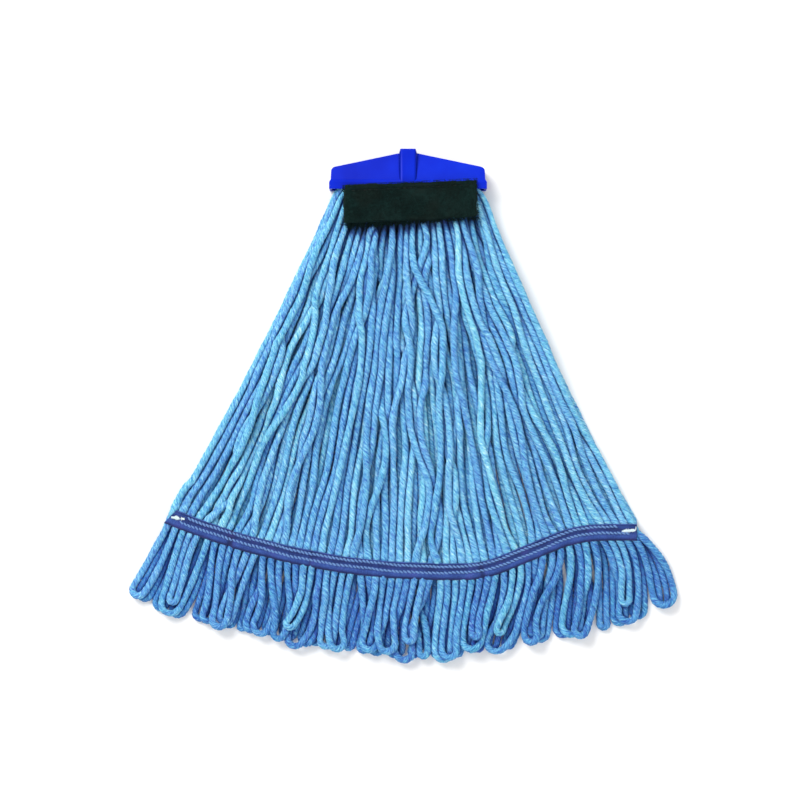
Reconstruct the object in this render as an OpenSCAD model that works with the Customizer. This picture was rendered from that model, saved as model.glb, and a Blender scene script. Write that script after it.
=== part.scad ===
// String mop head, lying flat.
// A moulded two-shell header carries a captive threaded insert for the handle
// stud. The yarn hangs over a steel rod inside the header in two halves, front
// and rear. Each half is sewn between two tail-band tapes, and ends in loops.
// A scrub pad is sewn on the front half, and its top margin laps the header.
//
// Frame: origin at the centre of the socket's mouth, +Y along the socket
// towards the handle, +X to the right seen from the front, +Z out of the front.
// The head lies on its rear side, on the plane Z = -lip_half.

/* [Header] */
// Half of the header's width at the lip
header_half_w = 70; // [69.5:0.1:71]
// Distance from the socket's mouth to the lip's lower edge
header_h = 35.5; // [35.2:0.1:35.8]
// Half of the header's depth at the lip
lip_half = 13; // [13:0.05:13.1]
// Wall thickness of the two shells
wall = 2.4; // [2.2:0.1:2.5]

/* [Socket] */
// Half of the hub's width
hub_r = 8.25; // [8:0.05:8.4]
// Radius of the insert's bore, the tapping size of a 3/8 inch stud
socket_r = 3.97; // [3.6:0.01:4.2]
// Length of the threaded insert
insert_len = 18; // [16:0.5:18]
// Across-flats size of the hexagonal insert
insert_af = 11.5; // [11:0.1:11.8]

/* [Yarn] */
// Diameter of the rod that the yarn hangs over
rod_d = 4; // [3.5:0.1:4.2]
// Gap between the front and the rear half of the yarn
half_gap = 0.5; // [0.4:0.05:0.7]
// Outward slope of the yarn's left edge, just below the header
splay_left = 0.435; // [0.42:0.005:0.445]
// Outward slope of the yarn's right edge, just below the header
splay_right = 0.405; // [0.395:0.005:0.415]
// Extra flare of the left edge, growing with the square of the distance
flare_left = 0.00026; // [0.00024:0.00001:0.0003]
// Extra flare of the right edge
flare_right = 0.00021; // [0.0002:0.00001:0.00024]
// Distance from the socket's mouth to the longest loop
mop_len = 457; // [440:1:475]

/* [Tail band] */
// Height of the tail band
band_w = 15; // [12.5:0.5:15]
// Thickness of one band tape
tape_t = 1; // [0.8:0.05:1]
// Distance from the socket's mouth to the band's lowest point
band_low = 376; // [372:0.5:377]
// Rise of the band from its lowest point to its left end
band_rise_left = 49; // [42:1:52]
// Rise of the band from its lowest point to its right end
band_rise_right = 35; // [30:1:40]
// Width of one row of stitching
thread_w = 1.2; // [0.8:0.1:1.6]

/* [Scrub pad] */
// Width of the pad
pad_w = 118; // [110:1:118]
// Height of the pad
pad_h = 35; // [32:0.5:35]
// Thickness of the pad
pad_t = 7; // [5:0.5:7]
// Tilt of the pad in the mop's plane, in degrees
pad_tilt = 2.8; // [0:0.1:2.8]

/* [Hidden] */

$fn = 48;
floor_z = -lip_half;
fold_y = -28.5;              // the rod's centre line
hinge_y = -386;              // line where the free loops start, under the bands
mouth_y = -36.5;             // where the yarn leaves the header
mouth_half = 66;             // half width of the yarn there
fold_half = header_half_w - wall - 3.2;   // half width of what lies folded inside
// just above the tail band the yarn thins to a step, which makes room for the tapes
step_y = -band_low + max(band_rise_left, band_rise_right) + band_w / 2 + 2.5;

// ---- small helpers -------------------------------------------------------
// points of an arc, for polygons with rounded corners
function arc(cx, cy, r, a0, a1, n = 6) =
    [for (i = [0 : n]) let (a = a0 + (a1 - a0) * i / n) [cx + r * cos(a), cy + r * sin(a)]];
function mirror_x(p) = [for (i = [len(p) - 1 : -1 : 0]) [-p[i][0], p[i][1]]];
function smooth(t) = let (u = min(max(t, 0), 1)) u * u * (3 - 2 * u);

// extrudes a plan outline (X, Y) from z0 to z1
module plan(points, z0, z1) translate([0, 0, z0]) linear_extrude(z1 - z0) polygon(points);
// extrudes a side profile (Y, Z) along X, from x0 to x1
module profile(points, x0, x1)
    translate([x0, 0, 0]) rotate([90, 0, 90]) linear_extrude(x1 - x0) polygon(points);

// ---- header shells -------------------------------------------------------
// plan outline of the header, moved in by g
function header_plan(g) = let (
        right = concat([[hub_r + 0.4, -3.6 - g], [64.4 - g * 0.6, -15.5 - g]],
                       arc(header_half_w - 5.6 - g, -19.6 - g, 3.9, 74, 0),
                       [[header_half_w - 1.4 - g, -27], [header_half_w - g, -29.5],
                        [header_half_w - g, -header_h]]))
    concat(right, mirror_x(right));
// side profile of the header, moved in by g
function header_side(g) = [
    [-3 - g, -(5.8 - g)], [-3 - g, 5.8 - g], [-16, 8.6 - g], [-27, 11 - g],
    [-29.5, lip_half - g], [-header_h - g, lip_half - g],
    [-header_h - g, -(lip_half - g)], [-29.5, -(lip_half - g)], [-27, -(11 - g)],
    [-16, -(8.6 - g)]];

module header_outer() intersection() {
    plan(header_plan(0), -20, 20);
    profile(header_side(0), -80, 80);
}
// hollow that takes the folded yarn, open at the lip
module header_hollow() {
    intersection() {
        plan([for (p = header_plan(wall)) [p[0], min(p[1], -5)]], -20, 20);
        profile(header_side(wall), -80, 80);
    }
    translate([-(header_half_w - wall), -header_h - 1, -(lip_half - wall)])
        cube([2 * (header_half_w - wall), 4, 2 * (lip_half - wall)]);
}
// the same hollow, kept below the insert only
module hollow_below_insert() intersection() {
    header_hollow();
    translate([-100, -60, -30]) cube([200, 40.6, 60]);
}
// hub with straight sides and rounded edges, narrowed at its mouth
hub_z = 12.25;               // half of its depth
hub_edge = 3.6;              // radius of its long edges
module hub(len) intersection() {
    union() {
        for (x = [-1, 1], z = [-1, 1]) translate([x * (hub_r - hub_edge), 0, z * (hub_z - hub_edge)])
            rotate([90, 0, 0]) cylinder(h = len, r = hub_edge);
        translate([-hub_r, -len, -(hub_z - hub_edge)]) cube([2 * hub_r, len, 2 * (hub_z - hub_edge)]);
        translate([-(hub_r - hub_edge), -len, -hub_z]) cube([2 * (hub_r - hub_edge), len, 2 * hub_z]);
    }
    plan([[-hub_r - 1, -len - 1], [-hub_r - 1, -5], [-hub_r, -5], [-hub_r + 1.5, 0],
          [hub_r - 1.5, 0], [hub_r, -5], [hub_r + 1, -5], [hub_r + 1, -len - 1]], -20, 20);
}
// the four moulded pegs that locate the shells on each other
peg_places = [[-22, -12.6], [22, -12.6], [-46, -15.6], [46, -15.6]];

module header_whole() difference() {
    union() {
        difference() { header_outer(); header_hollow(); }
        hub(19.4);
        // below the insert the hub is only a raised rib on each face
        difference() { hub(30); hollow_below_insert(); }
        for (p = peg_places) intersection() {
            translate([p[0], p[1], -12]) cylinder(h = 24, r = 3);
            header_outer();
        }
        // a rib in each shell presses the headband near the lip
        for (s = [-1, 1]) translate([-64, -33.6, s > 0 ? 8.6 : -11]) cube([128, 1.8, 2.4]);
    }
    // seat of the insert
    rotate([90, 0, 0]) translate([0, 0, -1])
        cylinder(h = insert_len + 1.05, r = insert_af / 2 / cos(30) + 0.05, $fn = 6);
    // pockets for the rod's ends
    translate([-header_half_w + 2.6, fold_y, 0]) rotate([0, 90, 0])
        cylinder(h = 2 * header_half_w - 5.2, r = rod_d / 2 + 0.05);
}

module front_cover() color([0.13, 0.2, 0.84]) {
    intersection() { header_whole(); translate([-100, -50, 0]) cube([200, 60, 40]); }
    for (p = peg_places) translate([p[0], p[1], -4]) cylinder(h = 5, r = 1.5);
}
module rear_cover() color([0.12, 0.18, 0.78]) difference() {
    intersection() { header_whole(); translate([-100, -50, -40.05]) cube([200, 60, 40]); }
    for (p = peg_places) translate([p[0], p[1], -4.5]) cylinder(h = 6, r = 1.56);
}

module socket_insert() color([0.72, 0.7, 0.66]) rotate([90, 0, 0]) difference() {
    cylinder(h = insert_len, r = insert_af / 2 / cos(30), $fn = 6);
    translate([0, 0, -1]) cylinder(h = insert_len + 2, r = socket_r);
}

// ---- yarn in the header ---------------------------------------------------
module yarn_rod() color([0.8, 0.8, 0.8])
    translate([-header_half_w + 2.8, fold_y, 0]) rotate([0, 90, 0])
        cylinder(h = 2 * header_half_w - 5.6, r = rod_d / 2);

// outline of something folded over the rod, from the fold down to y1
function u_side(ro, y1) =
    concat([for (p = arc(0, 0, ro, -90, 90, 16)) [fold_y + p[0], p[1]]], [[y1, ro], [y1, -ro]]);

module yarn_fold() color([0.36, 0.64, 0.86]) difference() {
    profile(u_side(7.6, -36), -fold_half + 0.2, fold_half - 0.2);
    translate([-70, fold_y, 0]) rotate([0, 90, 0]) cylinder(h = 140, r = rod_d / 2 + 0.05);
    translate([-70, -37, -half_gap / 2]) cube([140, 8, half_gap]);
}
module headband_tape() color([0.2, 0.27, 0.62]) difference() {
    profile(u_side(8.5, -34.6), -fold_half, fold_half);
    profile(u_side(7.65, -37), -70, 70);
}
// one row of lock stitches on each face of the headband
module headband_thread() color([0.55, 0.6, 0.9])
    for (s = [-1, 1], i = [0 : 24])
        translate([-60 + i * 5 - 1.7, -30.4, s > 0 ? 8.55 : -8.95]) cube([3.4, 0.7, 0.4]);

// ---- yarn skirts ----------------------------------------------------------
// half width of the spread yarn at a distance d below the header's mouth
function left_w(d) = mouth_half + splay_left * d + flare_left * d * d;
function right_w(d) = mouth_half + splay_right * d + flare_right * d * d;
skirt_d = mouth_y - hinge_y;
skirt_n = 14;
skirt_outline = concat(
    [for (i = [0 : skirt_n]) let (d = skirt_d * i / skirt_n) [-left_w(d), mouth_y - d]],
    [for (i = [skirt_n : -1 : 0]) let (d = skirt_d * i / skirt_n) [right_w(d), mouth_y - d]]);

// the loops end on a blunt curve, deepest a little right of the middle
loop_mid = 15;
function loop_drop(t) = (mop_len + hinge_y - 0.5) * pow(1 - pow(abs(t), 1.5), 1 / 1.5);
loop_n = 20;
loop_outline = concat(
    [for (i = [0 : loop_n]) let (t = i / loop_n - 1)
        [loop_mid + t * (left_w(skirt_d) + loop_mid), hinge_y - 0.5 - max(loop_drop(t), 8)]],
    [for (i = [1 : loop_n]) let (t = i / loop_n)
        [loop_mid + t * (right_w(skirt_d) - loop_mid), hinge_y - 0.5 - max(loop_drop(t), 8)]],
    [[right_w(skirt_d), hinge_y - 0.5], [-left_w(skirt_d), hinge_y - 0.5]]);

module front_yarn() color([0.42, 0.72, 0.92]) intersection() {
    plan(skirt_outline, -20, 30);
    profile([[mouth_y, half_gap / 2], [-100, -1.2], [-200, -3], [step_y + 6, -5], [step_y, -4.1],
             [hinge_y, -4.1], [hinge_y, 1.4], [step_y, 1.4], [step_y + 6, 2.6], [-200, 6],
             [-100, 11], [-66, 12.8], [mouth_y, 12.4]], -280, 280);
}
module rear_yarn() color([0.4, 0.7, 0.9]) intersection() {
    plan(skirt_outline, -20, 30);
    profile([[mouth_y, -half_gap / 2], [-100, -1.2 - half_gap], [-200, -3 - half_gap],
             [step_y + 6, -5.9 - half_gap], [step_y, -6.4], [hinge_y, -6.4], [hinge_y, -11.3],
             [step_y, -11.3], [step_y + 6, floor_z], [-42, floor_z], [mouth_y, -12.4]], -280, 280);
}
module front_loops() color([0.45, 0.74, 0.93]) plan(loop_outline, -5.9, 1.5);
module rear_loops() color([0.38, 0.66, 0.86]) plan(loop_outline, floor_z, -6.4);

// ---- tail bands -----------------------------------------------------------
// the band hangs in a shallow curve: a parabola on the left of its lowest point,
// and an eased step up on the right of it
band_x0 = -212;
band_x1 = 204;
band_mid = 30;
function band_y(x) = -band_low + (x < band_mid
    ? band_rise_left * pow((x - band_mid) / (band_x0 - band_mid), 2)
    : band_rise_right * smooth((x - 50) / 120));
band_n = 20;
band_line = [for (i = [0 : band_n]) let (x = band_x0 + (band_x1 - band_x0) * i / band_n) [x, band_y(x)]];
// unit normal of the line at point i
function nrm(p, i) = let (a = p[max(i - 1, 0)], b = p[min(i + 1, len(p) - 1)],
                          d = b - a, l = norm(d)) [-d[1] / l, d[0] / l];
// strip along a line, from offset a to offset b
function strip(p, a, b) = concat(
    [for (i = [0 : len(p) - 1]) p[i] + nrm(p, i) * b],
    [for (i = [len(p) - 1 : -1 : 0]) p[i] + nrm(p, i) * a]);
// the part of the line between the two end tacks
row_line = [for (i = [1 : band_n - 1]) band_line[i]];

module band(z0) plan(strip(band_line, -band_w / 2, band_w / 2), z0, z0 + tape_t);
// two rows of lock stitching that stand on a tape
module band_rows(z0) for (o = [4.7, -0.9])
    plan(strip(row_line, o - thread_w / 2, o + thread_w / 2), z0, z0 + 0.5);
// dense white tacks that close the two ends of a tape
module tacks(z0) for (e = [[band_x0 + 7, -9], [band_x1 - 7.6, 4]])
    translate([e[0], band_y(e[0]) + 1.6, z0]) rotate([0, 0, e[1]]) translate([-6, -1.4, 0]) cube([12, 2.8, 0.5]);

module front_band_outer() color([0.22, 0.26, 0.64]) band(1.45);
module front_band_inner() color([0.22, 0.26, 0.64]) band(-4.15 - tape_t);
module front_band_thread() color([0.55, 0.6, 0.9]) band_rows(1.5 + tape_t);
module front_band_bartacks() color([0.92, 0.97, 0.98]) tacks(1.5 + tape_t);
module rear_band_outer() color([0.22, 0.26, 0.64]) band(-11.35 - tape_t);
module rear_band_inner() color([0.22, 0.26, 0.64]) band(-6.35);

// on the rear half the stitching stands on the outer tape too, facing down
module rear_band_thread() color([0.55, 0.6, 0.9]) band_rows(-11.9 - tape_t);
module rear_band_bartacks() color([0.92, 0.97, 0.98]) tacks(-11.9 - tape_t);

// ---- scrub pad ------------------------------------------------------------
pad_z = 13.25;
module pad_place() translate([2.4, -46.8, pad_z]) rotate([0, 0, pad_tilt]) children();
module scrub_pad() color([0.09, 0.15, 0.13])
    pad_place() translate([-pad_w / 2, -pad_h / 2, 0]) cube([pad_w, pad_h, pad_t]);
// seam along the pad's top margin, as separate stitches
module pad_thread() color([0.07, 0.11, 0.1]) pad_place()
    for (i = [0 : 20]) translate([-51.7 + i * 5, pad_h / 2 - 6, pad_t + 0.02])
        cube([3.4, 0.7, 0.35]);

front_cover();
rear_cover();
socket_insert();
yarn_rod();
yarn_fold();
headband_tape();
headband_thread();
front_yarn();
front_loops();
front_band_outer();
front_band_inner();
front_band_thread();
front_band_bartacks();
rear_yarn();
rear_loops();
rear_band_outer();
rear_band_inner();
rear_band_thread();
rear_band_bartacks();
scrub_pad();
pad_thread();
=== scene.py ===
import bpy, bmesh, math
import numpy as np
from mathutils import Vector, Matrix, noise


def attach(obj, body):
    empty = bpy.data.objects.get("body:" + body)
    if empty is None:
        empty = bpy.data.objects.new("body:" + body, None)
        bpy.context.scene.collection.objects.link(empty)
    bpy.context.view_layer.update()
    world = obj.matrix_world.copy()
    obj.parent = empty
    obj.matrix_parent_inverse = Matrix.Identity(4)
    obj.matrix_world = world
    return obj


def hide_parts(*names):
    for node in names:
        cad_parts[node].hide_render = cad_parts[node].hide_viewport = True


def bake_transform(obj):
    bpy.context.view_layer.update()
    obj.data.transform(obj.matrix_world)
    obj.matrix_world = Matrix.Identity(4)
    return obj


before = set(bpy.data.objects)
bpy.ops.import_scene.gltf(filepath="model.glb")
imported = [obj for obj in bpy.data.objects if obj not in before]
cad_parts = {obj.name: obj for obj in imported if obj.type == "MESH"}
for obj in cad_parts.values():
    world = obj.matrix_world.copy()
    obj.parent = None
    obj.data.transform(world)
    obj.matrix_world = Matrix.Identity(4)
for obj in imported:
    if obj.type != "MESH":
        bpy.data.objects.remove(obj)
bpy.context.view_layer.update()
scene = bpy.context.scene
MM = 0.001
rng = np.random.default_rng(20260711)

# ================================================================ sizes, in mm
# the same driving sizes as the CAD model
FLOOR = -13.0
MOUTH_Y, MOUTH_HALF = -36.5, 66.0
SLOPE_L, SLOPE_R, FLARE_L, FLARE_R = 0.435, 0.405, 0.00026, 0.00021
BAND_LOW, RISE_L, RISE_R, BAND_MID = 376.0, 49.0, 35.0, 30.0
BAND_X0, BAND_X1, BAND_W = -212.0, 204.0, 15.0
TAPE = 1.0
FRONT_OUT, FRONT_IN, REAR_IN, REAR_OUT = 1.45, -5.15, -6.35, -12.35     # undersides of the four tapes
MOP_LEN, LOOP_MID = 457.0, 15.0
ROD_Y = -28.5
PAD_C, PAD_SIZE, PAD_TILT, PAD_Z = (2.4, -46.8), (118.0, 35.0, 7.0), 2.8, 13.25
# the yarn itself
R_YARN = 3.3
N_LEG = 60                       # legs in each half
TWIST = 20.0                     # length of one full twist

def left_w(d): return MOUTH_HALF + SLOPE_L * d + FLARE_L * d * d
def right_w(d): return MOUTH_HALF + SLOPE_R * d + FLARE_R * d * d
def smooth(t):
    u = np.clip(t, 0, 1)
    return u * u * (3 - 2 * u)
def band_y(x):
    x = np.asarray(x, float)
    return -BAND_LOW + np.where(x < BAND_MID,
        RISE_L * ((x - BAND_MID) / (BAND_X0 - BAND_MID)) ** 2, RISE_R * smooth((x - 50) / 120))

# ================================================================ camera, light, floor
def make_stage():
    cam = bpy.data.cameras.new("camera")
    cam.sensor_width = 36.0
    height, span = 2.3, 0.7136
    cam.lens = 36.0 * height / span
    cam.clip_end = 20
    co = bpy.data.objects.new("camera", cam)
    co.location = (-0.0071, -0.223, height)
    scene.collection.objects.link(co)
    scene.camera = co

    me = bpy.data.meshes.new("floor")
    s, z = 6.0, (FLOOR - 0.02) * MM
    me.from_pydata([(-s, -s, z), (s, -s, z), (s, s, z), (-s, s, z)], [], [(0, 1, 2, 3)])
    fl = bpy.data.objects.new("floor", me)
    scene.collection.objects.link(fl)
    m = bpy.data.materials.new("floor_white")
    m.use_nodes = True
    b = m.node_tree.nodes["Principled BSDF"]
    b.inputs["Base Color"].default_value = (0.93, 0.925, 0.92, 1)
    b.inputs["Roughness"].default_value = 0.9
    b.inputs["Specular IOR Level"].default_value = 0.1
    me.materials.append(m)

    def area(name, loc, size, power, color=(1, 1, 1)):
        l = bpy.data.lights.new(name, "AREA")
        l.shape = "DISK"; l.size = size; l.energy = power; l.color = color
        o = bpy.data.objects.new(name, l)
        o.location = loc
        o.rotation_euler = (Vector((0, -0.24, 0)) - Vector(loc)).to_track_quat("-Z", "Y").to_euler()
        scene.collection.objects.link(o)
    area("key", (-0.95, 0.95, 1.70), 1.2, 42, (1.0, 0.995, 0.98))
    area("fill", (0.5, -1.3, 2.0), 1.6, 12, (0.98, 0.99, 1.0))
    w = bpy.data.worlds.new("studio")
    w.use_nodes = True
    bg = w.node_tree.nodes["Background"]
    bg.inputs[0].default_value = (1, 1, 1, 1)
    bg.inputs[1].default_value = 0.71
    scene.world = w
    scene.view_settings.view_transform = "Standard"
    scene.view_settings.look = "None"

make_stage()

# ================================================================ mesh helpers
def mesh_from(name, V, quads, caps=(), attrs=None, shade=True):
    """V (n,3) in mm, quads (f,4), caps a list of index lists. Returns a linked object."""
    V = np.asarray(V, np.float64)
    quads = np.asarray(quads, np.int64).reshape(-1, 4)
    tot, loops = [np.full(len(quads), 4)], [quads.ravel()]
    if len(caps):
        tot.append(np.array([len(c) for c in caps]))
        loops.append(np.concatenate([np.asarray(c) for c in caps]))
    tot = np.concatenate(tot).astype(np.int32)
    loops = np.concatenate(loops).astype(np.int32)
    me = bpy.data.meshes.new(name)
    me.vertices.add(len(V)); me.vertices.foreach_set("co", (V * MM).ravel().astype(np.float32))
    me.loops.add(len(loops)); me.loops.foreach_set("vertex_index", loops)
    me.polygons.add(len(tot))
    start = np.concatenate([[0], np.cumsum(tot)[:-1]]).astype(np.int32)
    me.polygons.foreach_set("loop_start", start)
    me.polygons.foreach_set("loop_total", tot)
    me.update(calc_edges=True)
    me.polygons.foreach_set("use_smooth", np.full(len(tot), shade))
    for k, a in (attrs or {}).items():
        a = np.asarray(a, np.float32)
        if a.ndim == 1:
            me.attributes.new(k, "FLOAT", "POINT").data.foreach_set("value", a)
        else:
            me.attributes.new(k, "FLOAT_VECTOR", "POINT").data.foreach_set("vector", a.ravel())
    me.validate()
    o = bpy.data.objects.new(name, me)
    scene.collection.objects.link(o)
    return o

class Bag:
    """collects vertices, quads, caps and point attributes of one piece"""
    def __init__(self, *names):
        self.V, self.Q, self.C, self.n = [], [], [], 0
        self.A = {k: [] for k in names}
    def add(self, V, Q, caps=(), **attrs):
        self.V.append(V); self.Q.append(np.asarray(Q, np.int64).reshape(-1, 4) + self.n)
        self.C += [np.asarray(c) + self.n for c in caps]
        for k in self.A: self.A[k].append(np.broadcast_to(attrs[k], (len(V),) + np.shape(attrs[k])[1:]) if np.ndim(attrs[k]) else np.full(len(V), attrs[k]))
        self.n += len(V)
    def build(self, name, shade=True):
        return mesh_from(name, np.vstack(self.V), np.vstack(self.Q), self.C,
                         {k: np.concatenate(v) for k, v in self.A.items()}, shade)

def resample(P, step):
    """points along P at an even step, on a Catmull-Rom curve; returns points and lengths"""
    P = np.asarray(P, float)
    Q = np.vstack([2 * P[0] - P[1], P, 2 * P[-1] - P[-2]])
    t = (np.arange(6) / 6)[None, :, None]
    p0, p1, p2, p3 = (Q[k:len(Q) - 3 + k, None, :] for k in range(4))
    D = 0.5 * (2 * p1 + (p2 - p0) * t + (2 * p0 - 5 * p1 + 4 * p2 - p3) * t ** 2 + (3 * p1 - p0 - 3 * p2 + p3) * t ** 3)
    D = np.vstack([D.reshape(-1, 3), P[-1:]])
    s = np.concatenate([[0], np.cumsum(np.linalg.norm(np.diff(D, axis=0), axis=1))])
    n = max(3, int(round(s[-1] / step)) + 1)
    u = np.linspace(0, s[-1], n)
    return np.stack([np.interp(u, s, D[:, k]) for k in range(3)], 1), u

def frames(P):
    """rotation-minimising frames along a path"""
    T = np.gradient(P, axis=0)
    T /= np.linalg.norm(T, axis=1)[:, None] + 1e-9
    N = np.zeros_like(P)
    a = np.array([0, 0, 1.0]) if abs(T[0, 2]) < 0.9 else np.array([1.0, 0, 0])
    n = a - T[0] * (a @ T[0]); N[0] = n / np.linalg.norm(n)
    for i in range(1, len(P)):
        n = N[i - 1] - T[i] * (N[i - 1] @ T[i])
        N[i] = n / (np.linalg.norm(n) + 1e-9)
    return T, N, np.cross(T, N)

def ring_quads(n, m):
    idx = np.arange(n * m).reshape(n, m)
    a, b = idx[:-1], idx[1:]
    q = np.stack([a, np.roll(a, -1, 1), np.roll(b, -1, 1), b], -1).reshape(-1, 4)
    return q, [list(idx[0][::-1]), list(idx[-1])]

def grid_quads(n, m, flip=False):
    idx = np.arange(n * m).reshape(n, m)
    q = np.stack([idx[:-1, :-1], idx[:-1, 1:], idx[1:, 1:], idx[1:, :-1]], -1).reshape(-1, 4)
    return q[:, ::-1] if flip else q

# ================================================================ twisted yarn
PLY, PER = 4, 6
M_RING = PLY * PER
_phi = np.arange(M_RING) * 2 * math.pi / M_RING
_dl = (np.degrees(_phi) + 45) % 90 - 45
_prof = 1.0 - 0.13 * np.abs(_dl / 45) ** 1.8
_ply_of = np.floor(((np.degrees(_phi) + 45) % 360) / 90)

SLIM = 0.97                       # drawn thickness over the room that a yarn takes up

class Crowd:
    """what lies close to a yarn: the centre lines of all yarns, for the painted shade in the creases between them"""
    def __init__(self, paths):
        from mathutils.kdtree import KDTree
        self.P, self.own, self.at = [], [], []
        for k, P in enumerate(paths):
            C, s = resample(P, 3.5)
            self.P.append(C); self.own.append(np.full(len(C), k)); self.at.append(s)
        self.P = np.vstack(self.P); self.own = np.concatenate(self.own); self.at = np.concatenate(self.at)
        self.T = KDTree(len(self.P))
        for i, p in enumerate(self.P): self.T.insert(p, i)
        self.T.balance()
    def crease(self, k, C, s, dirs, r):
        """for ring centres C of path k and ring directions dirs (n,m,3): how hard each point is pressed
        against another yarn, and how much other yarn stands in front of it (both 0 to 1); both are used as painted
        shade"""
        out = np.zeros(dirs.shape[:2]); wide = np.zeros(dirs.shape[:2])
        for i in range(len(C)):
            near = self.T.find_range(C[i], 3.6 * R_YARN)
            if not near: continue
            j = np.array([q[1] for q in near])
            j = j[(self.own[j] != k) | (np.abs(self.at[j] - s[i]) > 4.5 * R_YARN)]
            if not len(j): continue
            w = self.P[j] - C[i]; D = np.linalg.norm(w, axis=1) + 1e-6
            close = np.clip((2.7 * R_YARN - D) / (0.6 * R_YARN), 0, 1)
            c = np.clip(dirs[i] @ (w / D[:, None]).T, 0, 1)
            out[i] = (c ** 3.6 * close[None, :]).max(1)
            wide[i] = (c * np.clip((3.6 * R_YARN - D) / (1.4 * R_YARN), 0, 1)[None, :]).sum(1) * 0.16
        return out, np.clip(wide, 0, 0.99)

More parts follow.
